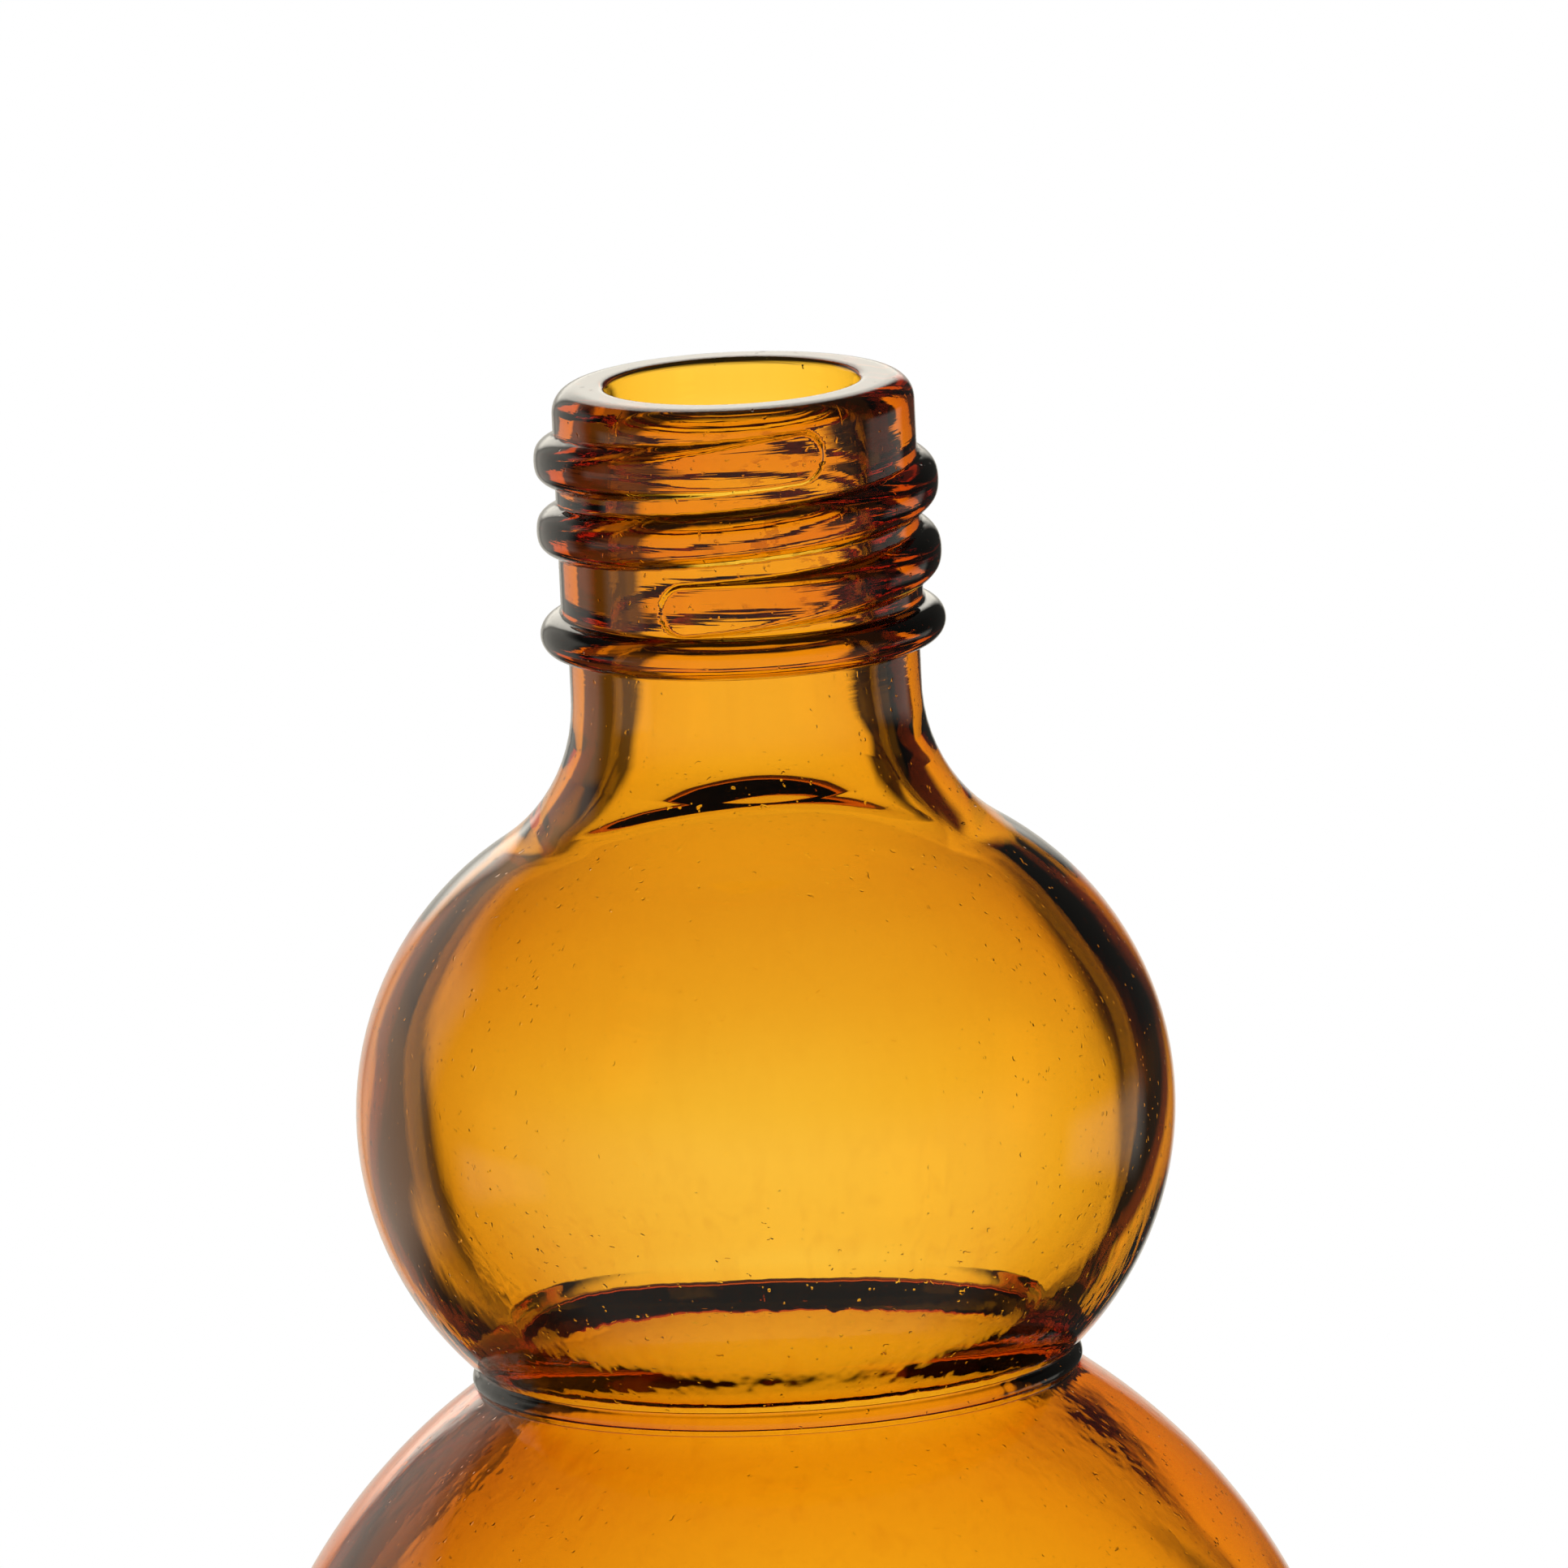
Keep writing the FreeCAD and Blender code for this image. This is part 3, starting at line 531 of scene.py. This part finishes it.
# %% [markdown]
# ## The ridge inside the shoulder
# Where the neck's glass met the blown lobe, a low ridge stayed on the inside. Seen through
# the front, it is a dark line under the neck. It is highest at the back, sinks towards the
# front and isn't quite level, as nothing blown is.

# %% Ridge inside the shoulder
RIDGE_TURN, RIDGE_DROP, RIDGE_WIDTH = 104.0, 0.7, 0.34
RIDGE_SWELLS = ((0.35, 58.0), (0.1, 85.0))
RIDGE_LUMPS, LUMP_COUNT = 0.1, 9
RIDGE_WAVES = ((0.18, 2, 0.5), (0.05, 5, 1.0))


def signed(turn_deg):
    """The same turn, from -180 to 180 degrees."""
    return (turn_deg + 180) % 360 - 180


off_back = signed(np.degrees(angle) - RIDGE_TURN)
ridge_proud = sum(proud * np.exp(-(off_back / spread) ** 2) for proud, spread in RIDGE_SWELLS)
ridge_proud *= 1 + RIDGE_LUMPS * np.sin(LUMP_COUNT * angle)
ridge_level = RIDGE_LEVEL - RIDGE_DROP + sum(
    high * np.sin(count * angle + start) for high, count, start in RIDGE_WAVES)
push -= ridge_proud * bump_at(level, ridge_level, RIDGE_WIDTH)
grid_r[~outer] += push
print("ridge up to %.2f mm proud" % ridge_proud.max())

# %% [markdown]
# ## Mould seams
# The body is blown in two mould halves, and where they meet the glass keeps a fine raised
# line. It runs up both lobes and is worn off towards the neck. It is raised in the mesh,
# because a line in clear glass also bends what lies behind it.

# %% Mould seams
SEAM_TURN, SEAM_PROUD, SEAM_WIDTH = -66.0, 0.018, 0.8
SEAM_BOTTOM, SEAM_TOP, SEAM_FADE = 1.5, 62.0, 4.0

on_seam = outer & between(height, SEAM_BOTTOM, SEAM_TOP)
worn = np.clip((SEAM_TOP - height[on_seam]) / SEAM_FADE, 0, 1)
for side in (0, 180):
    off_seam = signed(np.degrees(azimuth) - SEAM_TURN - side)
    grid_r[on_seam] += SEAM_PROUD * np.exp(-(off_seam / SEAM_WIDTH) ** 2) * worn[:, None]
print("seams at %.0f and %.0f degrees" % (SEAM_TURN, SEAM_TURN + 180))

# %% [markdown]
# ## Mesh
# A glass shader and a volume need a closed mesh with an outside and an inside. A Screw
# modifier could turn the profile, but thread and waves give each point its own radius, so
# the grid is meshed directly. Each row is a ring of points. Two neighbouring rings make a
# band of quads, and each end closes in a fan of triangles on the axis. The object then
# stands for the plain solid.

# %% Mesh
def build_mesh(name, grid_r, grid_z):
    """A closed mesh from rows of rings; the first and last row are single points."""
    ring_r, ring_z = grid_r[1:-1], grid_z[1:-1]
    count = len(ring_r)
    coords = np.stack((ring_r * np.cos(azimuth), ring_r * np.sin(azimuth), ring_z), 2)
    poles = np.array(((0, 0, grid_z[0, 0]), (0, 0, grid_z[-1, 0])))
    coords = np.concatenate((coords.reshape(-1, 3), poles)) * MM
    here = np.arange(SEGMENTS)
    after = (here + 1) % SEGMENTS
    quads = []
    for row in range(count - 1):
        low, high = row * SEGMENTS, (row + 1) * SEGMENTS
        quads.append(np.stack((low + here, low + after, high + after, high + here), 1))
    first, last = count * SEGMENTS, count * SEGMENTS + 1
    top = (count - 1) * SEGMENTS
    faces = np.concatenate(quads).tolist()
    faces += [(first, int(b), int(a)) for a, b in zip(here, after)]
    faces += [(last, int(top + a), int(top + b)) for a, b in zip(here, after)]
    mesh = bpy.data.meshes.new(name)
    mesh.from_pydata(coords.tolist(), [], faces)
    mesh.shade_smooth()
    mesh.validate()
    return mesh


def add_piece(name, mesh):
    """Puts a mesh into the scene as an object."""
    piece = bpy.data.objects.new(name, mesh)
    bpy.context.scene.collection.objects.link(piece)
    return piece


bottle = add_piece("amber_bottle", build_mesh("amber_bottle", grid_r, grid_z))
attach(bottle, "root")
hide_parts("bottle")
print("%d faces" % len(bottle.data.polygons))

# %% [markdown]
# ## A small language for nodes
# Materials below are written as plain sums, because long chains of nodes are hard to read.
# `Value` wraps a socket, so that arithmetic on values adds Math nodes. `Maker.node` adds any
# other node: its type, its settings, which are set first, then the values or links of its
# sockets, and it gives back the outputs asked for. Colours are mixed by a Mix node, because
# a Math node would turn them grey.

# %% Node helpers
class Value:
    """A node socket that can be used in arithmetic."""

    def __init__(self, maker, socket):
        self.maker, self.socket = maker, socket

    def _math(self, operation, *values):
        return self.maker.node("ShaderNodeMath", {"operation": operation}, values)

    def __add__(self, other):
        return self._math("ADD", self, other)

    def __sub__(self, other):
        return self._math("SUBTRACT", self, other)

    def __rsub__(self, other):
        return self._math("SUBTRACT", other, self)

    def __mul__(self, other):
        return self._math("MULTIPLY", self, other)

    def __neg__(self):
        return self * -1

    def __abs__(self):
        return self._math("ABSOLUTE", self)

    def most(self, other):
        """The larger of two."""
        return self._math("MAXIMUM", self, other)

    def least(self, other):
        """The smaller of two."""
        return self._math("MINIMUM", self, other)

    __radd__, __rmul__ = __add__, __mul__


class Maker:
    """Adds nodes to one node tree, which it empties first."""

    def __init__(self, tree):
        self.tree = tree
        tree.nodes.clear()

    def node(self, kind, settings=None, inputs=(), outputs=(0,)):
        """One node of any kind, and the outputs asked for."""
        made = self.tree.nodes.new(kind)
        for name, value in (settings or {}).items():
            setattr(made, name, value)
        pairs = inputs.items() if isinstance(inputs, dict) else enumerate(inputs)
        for key, value in pairs:
            if isinstance(value, Value):
                self.tree.links.new(value.socket, made.inputs[key])
            else:
                made.inputs[key].default_value = value
        values = [Value(self, made.outputs[key]) for key in outputs if made.outputs]
        return values[0] if len(values) == 1 else values

    def ramp(self, value, low, high):
        """Rises smoothly from 0 at low to 1 at high."""
        return self.node("ShaderNodeMapRange", {"interpolation_type": "SMOOTHSTEP"},
                         {"Value": value, "From Min": low, "From Max": high})

    def mix(self, amount, under, over):
        """A colour between two."""
        return self.node("ShaderNodeMix", {"data_type": "RGBA"},
                         {0: amount, 6: under, 7: over}, (2,))


def new_material(name):
    """A material and the maker of its nodes."""
    material = bpy.data.materials.new(name)
    material.use_nodes = True
    return material, Maker(material.node_tree)


def give(piece, material):
    """Makes this the piece's only material."""
    piece.data.materials.clear()
    piece.data.materials.append(material)


WHITE, BLACK = (1, 1, 1, 1), (0, 0, 0, 1)
print("node helpers: %s and %s" % (Value.__name__, Maker.__name__))

# %% [markdown]
# ## Amber glass: where on the bottle
# The colour, the smudges and the marks of moulding change over the surface, so the material
# first asks where it is. A UV map would need a cut down one side. Object coordinates don't,
# and stay with the glass. They are in metres and are turned into millimetres here: x to the
# right, y to the back, z up. Each mask is a smooth ramp between two places. Grain is noise,
# drawn out along an axis where its stretch is below 1, with a scale in features per metre
# and a number of finer layers.

# %% Places on the glass
FINISH_START, LOBE_END = (71.5, 73.5), (64.0, 68.0)
WAIST_START, WAIST_END = (34.0, 39.5), (45.5, 51.0)

amber_glass, glass = new_material("amber_glass")
place = glass.node("ShaderNodeTexCoord", {}, (), (3,))
metres = glass.node("ShaderNodeSeparateXYZ", {}, (place,), (0, 1, 2))
x, y, z = [axis * (1 / MM) for axis in metres]


def grain(stretch, scale, detail):
    """Noise over the glass."""
    drawn = glass.node("ShaderNodeVectorMath", {"operation": "MULTIPLY"}, (place, stretch))
    return glass.node("ShaderNodeTexNoise", {}, {
        "Vector": drawn, "Scale": scale, "Detail": detail})


on_finish = glass.ramp(z, *FINISH_START)
on_lobes = 1 - glass.ramp(z, *LOBE_END)
near_waist = glass.ramp(z, *WAIST_START) * (1 - glass.ramp(z, *WAIST_END))
print("masks for the finish, the lobes and the waist")

# %% [markdown]
# ## Amber glass: what lies on its colour
# Nearly all of the colour comes from the body of the glass, further below. The surface only
# deepens it: to the left, towards the top of the small lobe, and in fine upright streaks,
# most of them near the waist. Brown specks lie where a closure scuffed the finish.

# %% Colour of the surface
DEEP, SPECK = (0.86, 0.74, 0.6, 1), (0.42, 0.26, 0.12, 1)
LEFT_SIDE, LEFT_AMOUNT = (-4.0, 17.0), 0.5
UNDER_SHOULDER, SHOULDER_AMOUNT = (53.5, 63.5), 0.75
STREAK_GRAIN, STREAKS = ((1, 1, 0.12), 900, 3), (0.52, 0.74)
STREAK_AMOUNT, STREAK_AT_WAIST = 0.1, 0.35
SPECK_FRONT, SPECK_RIGHT, SPECK_LEVEL = (3.0, 6.0), (-2.0, 1.0), (76.5, 78.0)
PATCH_GRAIN, PATCHES = ((1, 1, 2), 230, 2), (0.5, 0.58)
SPECK_GRAIN, SPECKS, SPECK_AMOUNT = ((1, 1, 2.6), 1300, 6), (0.53, 0.57), 0.8

left = glass.ramp(-x, *LEFT_SIDE) * LEFT_AMOUNT
high = glass.ramp(z, *UNDER_SHOULDER) * SHOULDER_AMOUNT
streak = glass.ramp(grain(*STREAK_GRAIN), *STREAKS)
streak *= STREAK_AMOUNT + near_waist * STREAK_AT_WAIST
deep = (left.most(high) * on_lobes + streak).least(1)

scuffed = glass.ramp(-y, *SPECK_FRONT) * glass.ramp(x, *SPECK_RIGHT)
scuffed *= glass.ramp(z, *SPECK_LEVEL) * glass.ramp(grain(*PATCH_GRAIN), *PATCHES)
speckle = glass.ramp(grain(*SPECK_GRAIN), *SPECKS) * scuffed
tint = glass.mix(speckle * SPECK_AMOUNT, glass.mix(deep, WHITE, DEEP), SPECK)
print("colour of the surface: %d nodes so far" % len(glass.tree.nodes))

# %% [markdown]
# ## Amber glass: its surface
# Pressed glass keeps fine level ripples on the finish, and the lobes are drawn in upright
# lines that are strongest at the waist. A few small pits and faint smudges break up the
# reflections. A bump is right for marks this small, because they don't change the outline.

# %% Surface of the glass
RIPPLE_GRAIN, RIPPLE_AMOUNT = ((0.5, 0.5, 13), 330, 2), 0.42
LINE_GRAIN, LINE_AMOUNT = ((1, 1, 0.1), 700, 2), 0.12
PIT_GRAIN, PITS, PIT_AMOUNT = ((1, 1, 1), 2600, 1), (0.73, 0.8), 0.8
SMUDGE_GRAIN, SMUDGES, SMUDGE_ROUGH = ((1, 1, 1), 160, 3), (0.55, 0.75), 0.03
BUMP_STRENGTH, BUMP_HEIGHT = 0.35, 0.06

ripple = grain(*RIPPLE_GRAIN) * on_finish * RIPPLE_AMOUNT
lines = grain(*LINE_GRAIN) * (LINE_AMOUNT + near_waist)
pit = glass.ramp(grain(*PIT_GRAIN), *PITS) * PIT_AMOUNT
smudge = glass.ramp(grain(*SMUDGE_GRAIN), *SMUDGES) * SMUDGE_ROUGH
marks = glass.node("ShaderNodeBump", {}, {
    "Strength": BUMP_STRENGTH, "Distance": BUMP_HEIGHT * MM, "Height": ripple + lines - pit})
print("marks up to %.2f mm high" % BUMP_HEIGHT)

# %% [markdown]
# ## Amber glass: its body
# A tinted surface would colour each wall alike, however thick it is. So the surface only
# bends light like any bottle glass, and a volume inside the mesh swallows it. Amber takes
# most of the blue, some of the green and hardly any red, and takes more the longer the way
# is. So thin walls look yellow, and thick rims turn red, then black.

# %% Body of the glass
GLASS_IOR = 1.5
AMBER, AMBER_DENSITY = (0.948, 0.772, 0.0, 1), 1330.0

surface = glass.node("ShaderNodeBsdfPrincipled", {}, {
    "Base Color": tint, "Roughness": smudge, "IOR": GLASS_IOR, "Transmission Weight": 1.0,
    "Normal": marks})
body = glass.node("ShaderNodeVolumeAbsorption", {}, {"Color": AMBER, "Density": AMBER_DENSITY})
glass.node("ShaderNodeOutputMaterial", {}, {"Surface": surface, "Volume": body})
give(bottle, amber_glass)
through_1_mm = [math.exp(-AMBER_DENSITY * MM * (1 - part)) for part in AMBER[:3]]
print("1 mm lets through", ["%.2f" % part for part in through_1_mm])

# %% [markdown]
# ## Floor
# The bottle stands on a white floor that fades into a white surround. Near the bottle the
# floor is plain matt paper and keeps the shadow. Further off, only for what is seen
# directly, it glows at a strength of 1, which is white. Rays through glass and reflections
# pass the floor by and meet the world instead, so no horizon shows in the bottle. These
# sizes are in metres.

# %% Floor
FLOOR_HALF, FLOOR_FADE, PAPER = 3.0, (0.04, 0.11), (0.9, 0.9, 0.9, 1)


def card(name, corners):
    """One flat four-cornered piece of the stage."""
    mesh = bpy.data.meshes.new(name)
    mesh.from_pydata(corners, [], [(0, 1, 2, 3)])
    piece = add_piece(name, mesh)
    return piece


def floor_material():
    """White paper near the bottle, and a white glow for direct sight further off."""
    material, maker = new_material("white_floor")
    place = maker.node("ShaderNodeTexCoord", {}, (), (3,))
    far = maker.node("ShaderNodeVectorMath", {"operation": "LENGTH"}, (place,), (1,))
    seen = maker.node("ShaderNodeLightPath", {}, (), ("Is Camera Ray",))
    paper = maker.node("ShaderNodeBsdfDiffuse", {}, {"Color": PAPER})
    glow = maker.node("ShaderNodeEmission", {}, {"Color": WHITE, "Strength": 1.0})
    both = maker.node("ShaderNodeMixShader", {}, (
        maker.ramp(far, *FLOOR_FADE) * seen, paper, glow))
    maker.node("ShaderNodeOutputMaterial", {}, {"Surface": both})
    return material


floor = card("floor", [(x * FLOOR_HALF, y * FLOOR_HALF, 0)
                       for x, y in ((-1, -1), (1, -1), (1, 1), (-1, 1))])
give(floor, floor_material())
floor.visible_transmission = False
floor.visible_glossy = False
print("floor %.0f m wide" % (2 * FLOOR_HALF))

# %% [markdown]
# ## A black flag
# Black cards, called flags, shape the dark edges of lit glass. This one stands behind the
# bottle on the right and blackens the right side of the small lobe. The world further below
# glows by direction alone, so it can't treat the two lobes apart, and a card nearby can.
# Its edges are soft, and only rays that come through glass meet it: it casts no shadow and
# shows in no reflection. Its own UV map says how far a place is from the edges.

# %% Black flag
FLAG_MIDDLE, FLAG_WIDE, FLAG_TALL, FLAG_SOFT = (36.0, 36.0, 70.0), 34.0, 48.0, 0.2


def flag_material(name):
    """Black for rays through glass, clear for all others, with soft edges."""
    material, maker = new_material(name)
    place = maker.node("ShaderNodeTexCoord", {}, (), (2,))
    mask = maker.node("ShaderNodeLightPath", {}, (), ("Is Transmission Ray",))
    for across in maker.node("ShaderNodeSeparateXYZ", {}, (place,), (0, 1)):
        mask = mask * maker.ramp(0.5 - abs(across - 0.5), 0, FLAG_SOFT)
    black = maker.node("ShaderNodeEmission", {}, {"Color": BLACK, "Strength": 0.0})
    clear = maker.node("ShaderNodeBsdfTransparent", {}, {"Color": WHITE})
    both = maker.node("ShaderNodeMixShader", {}, (mask, clear, black))
    maker.node("ShaderNodeOutputMaterial", {}, {"Surface": both})
    return material


def make_flag(name, middle, wide, tall):
    """A card that faces the front and stops only rays that come through glass."""
    corners = ((0, 0), (1, 0), (1, 1), (0, 1))
    flag = card(name, [((middle[0] + (u - 0.5) * wide) * MM, middle[1] * MM,
                        (middle[2] + (v - 0.5) * tall) * MM) for u, v in corners])
    layer = flag.data.uv_layers.new(name="flag")
    for loop, corner in zip(layer.data, corners):
        loop.uv = corner
    give(flag, flag_material(name))
    flag.visible_camera = False
    flag.visible_diffuse = False
    flag.visible_shadow = False
    return flag


right_flag = make_flag("right_flag", FLAG_MIDDLE, FLAG_WIDE, FLAG_TALL)
print("%s is %.0f by %.0f mm" % (right_flag.name, FLAG_WIDE, FLAG_TALL))

# %% [markdown]
# ## The light: a world painted by direction
# Nothing lights the glass but the world, which glows by direction. Turn is the compass
# direction, 0 straight behind the bottle and positive to the right, and rise is the height
# above the horizon, both in degrees. Lights painted by direction render faster than many
# lamps and cards, and have no size or distance to get wrong. A step or a window is how a
# light begins and ends, with soft edges.

# %% Directions
SOFT_EDGE = 3.0
DEGREES = 180 / math.pi

world = bpy.data.worlds.new("studio")
bpy.context.scene.world = world
world.use_nodes = True
sky = Maker(world.node_tree)
direction = sky.node("ShaderNodeTexCoord")
east, north, up = sky.node("ShaderNodeSeparateXYZ", {}, (direction,), (0, 1, 2))
turn = sky.node("ShaderNodeMath", {"operation": "ARCTAN2"}, (east, north)) * DEGREES
rise = sky.node("ShaderNodeMath", {"operation": "ARCSINE"}, (up,)) * DEGREES


def step(value, at, soft=SOFT_EDGE):
    """0 below a place and 1 above it, with a soft edge."""
    return sky.ramp(value - at, -soft, soft)


def window(value, low, high, soft):
    """1 between two places, with soft edges."""
    return step(value, low, soft) * (1 - step(value, high, soft))


print("a step is %.0f degrees soft, unless it says otherwise" % (2 * SOFT_EDGE))

# %% [markdown]
# ## What the glass lets through: the bright column
# Glass is drawn by its dark edges. Straight behind the bottle stands a bright column, and
# beside it is darkness. A wall seen flat on looks straight at the column. Where the wall
# curves away it bends the view sideways into the dark, and that draws the outline. Each
# lobe bends the view in its own way. So both edges of the column lie further right above
# the horizon and lean to the right again further down, and its foot slopes up outwards.

# %% Bright column
SOFT, SOFTER = 4.0, 8.0
COLUMN_LEFT, LEFT_SHIFT, LEFT_SHIFT_FROM = -15.5, 5.0, 3.0
LEFT_SLOPE, LEFT_SLOPE_UNDER = 0.2, 15.0
COLUMN_RIGHT, RIGHT_SHIFT, RIGHT_SHIFT_FROM, RIGHT_SHIFT_TO = 13.0, 16.0, 4.0, 34.0
RIGHT_SLOPE, RIGHT_SLOPE_UNDER = 0.8, 6.0
COLUMN_TOP, COLUMN_FOOT, FOOT_HALF, FOOT_SLOPE = 62.0, -31.0, 8.0, 0.35

left_edge = (COLUMN_LEFT + step(rise, LEFT_SHIFT_FROM, SOFT) * LEFT_SHIFT
             + (-rise - LEFT_SLOPE_UNDER).most(0) * LEFT_SLOPE)
shifted = step(rise, RIGHT_SHIFT_FROM, SOFT) * (1 - step(rise, RIGHT_SHIFT_TO, SOFTER))
right_edge = (COLUMN_RIGHT + shifted * RIGHT_SHIFT
              + (-rise - RIGHT_SLOPE_UNDER).most(0) * RIGHT_SLOPE)
off_foot = (abs(turn) - FOOT_HALF).most(0) * FOOT_SLOPE
column = step(turn, left_edge) * (1 - step(turn, right_edge))
column *= step(rise - off_foot, COLUMN_FOOT, SOFT) * (1 - step(rise, COLUMN_TOP, SOFTER))
print("column from %.1f to %.1f degrees at the horizon" % (COLUMN_LEFT, COLUMN_RIGHT))

# %% [markdown]
# ## What the glass lets through: side cards and greys
# Pure darkness would turn every rim black. Three dimmer cards, two on the left and one on
# the viewer's right, put warm glints into the rims. Faint greys beside the column and low
# on the left keep the sides of each lobe smoky, and a last trace of light is everywhere.
# A card has a middle turn, half a width, and the rises where it begins and ends.

# %% Side cards and greys
BACKLIGHT, CARD_LIGHT, TRACE = 1.35, 0.7, 0.02
SIDE_CARDS = ((-45, 7, -38, -18), (-90, 9, -20, 12), (135, 10, -32, 2))
LEFT_GREY, HIGH_GREY, LOW_GREY, RIGHT_GREY = 0.16, 0.25, 0.5, 0.08


def patch(turns, turn_soft, rises, rise_soft):
    """A soft rectangle of directions."""
    return window(turn, *turns, turn_soft) * window(rise, *rises, rise_soft)


def side_card(centre, half, low, high):
    """A soft card about a turn, which may lie behind the viewer."""
    aside = sky.node("ShaderNodeMath", {"operation": "WRAP"}, (turn - centre, 180, -180))
    return window(aside, -half, half, 4) * window(rise, low, high, 5)


through = column
for size in SIDE_CARDS:
    through = through.most(side_card(*size) * CARD_LIGHT)
through *= BACKLIGHT

leftward = 1 - step(turn, -10, 4)
greys = (leftward * window(rise, -24, 8, 8) * LEFT_GREY,
         leftward * patch((-34, -10), 5, (10, 30), 6) * HIGH_GREY,
         patch((-75, -36), 9, (-75, -24), 8) * LOW_GREY,
         step(turn, 12, 4) * window(rise, -8, -1, 3) * RIGHT_GREY)
for grey in greys:
    through = through.most(grey)
through = through.most(TRACE)
print("%d side cards and %d greys" % (len(SIDE_CARDS), len(greys)))

# %% [markdown]
# ## What the glass reflects
# Reflections have their own lights: a tall window on the left, low strips at both sides, a
# strong light behind that only grazing rims catch, and a dim room in front. A patch is a
# soft rectangle, with its turns and their softness, then its rises and theirs.

# %% Reflected lights
WINDOW_LIGHT, STRIP_LIGHT, ROOM_LIGHT, EVERYWHERE = 0.6, 0.55, 0.3, 0.05
BEHIND_LOW, BEHIND_HIGH = 0.7, 2.0
STRIP_RISES = (-17, -5)

left_window = patch((-68, -20), 7, (-24, 28), 6) * WINDOW_LIGHT
strips = patch((-116, -84), 5, STRIP_RISES, 4).most(patch((48, 86), 5, STRIP_RISES, 4))
brighter_above = BEHIND_LOW + step(rise, 3, 4) * (BEHIND_HIGH - BEHIND_LOW)
behind = patch((-20, 11), 5, (-30, 46), 6) * brighter_above
room = step(abs(turn), 100, 20) * (1 - step(rise, 8, 12)) * ROOM_LIGHT
reflected = left_window.most(behind).most(room).most(strips * STRIP_LIGHT) + EVERYWHERE
print("reflected lights ready, up to a strength of %.1f" % BEHIND_HIGH)

# %% [markdown]
# ## Which ray sees what
# Light Path tells the rays apart. Direct sight finds plain white, rays through the glass
# find the column, and reflected rays find the windows, in a slightly warm white. A sharp
# ray that went through glass counts as both, so the reflected ones are those that aren't
# through. All other rays, such as those that light the floor, find an even pale sky.

# %% World
REST_LIGHT, WARM = 0.9, (1.0, 0.95, 0.84, 1)

seen, glossy, is_through = sky.node("ShaderNodeLightPath", {}, (), (
    "Is Camera Ray", "Is Glossy Ray", "Is Transmission Ray"))
is_reflected = glossy * (1 - is_through)
is_rest = (1 - seen) * (1 - is_through) * (1 - is_reflected)
strength = seen + is_through * through + is_reflected * reflected + is_rest * REST_LIGHT
glow = sky.node("ShaderNodeBackground", {}, {
    "Color": sky.mix(is_reflected, WHITE, WARM), "Strength": strength})
sky.node("ShaderNodeOutputWorld", {}, {"Surface": glow})
print("world of %d nodes" % len(world.node_tree.nodes))
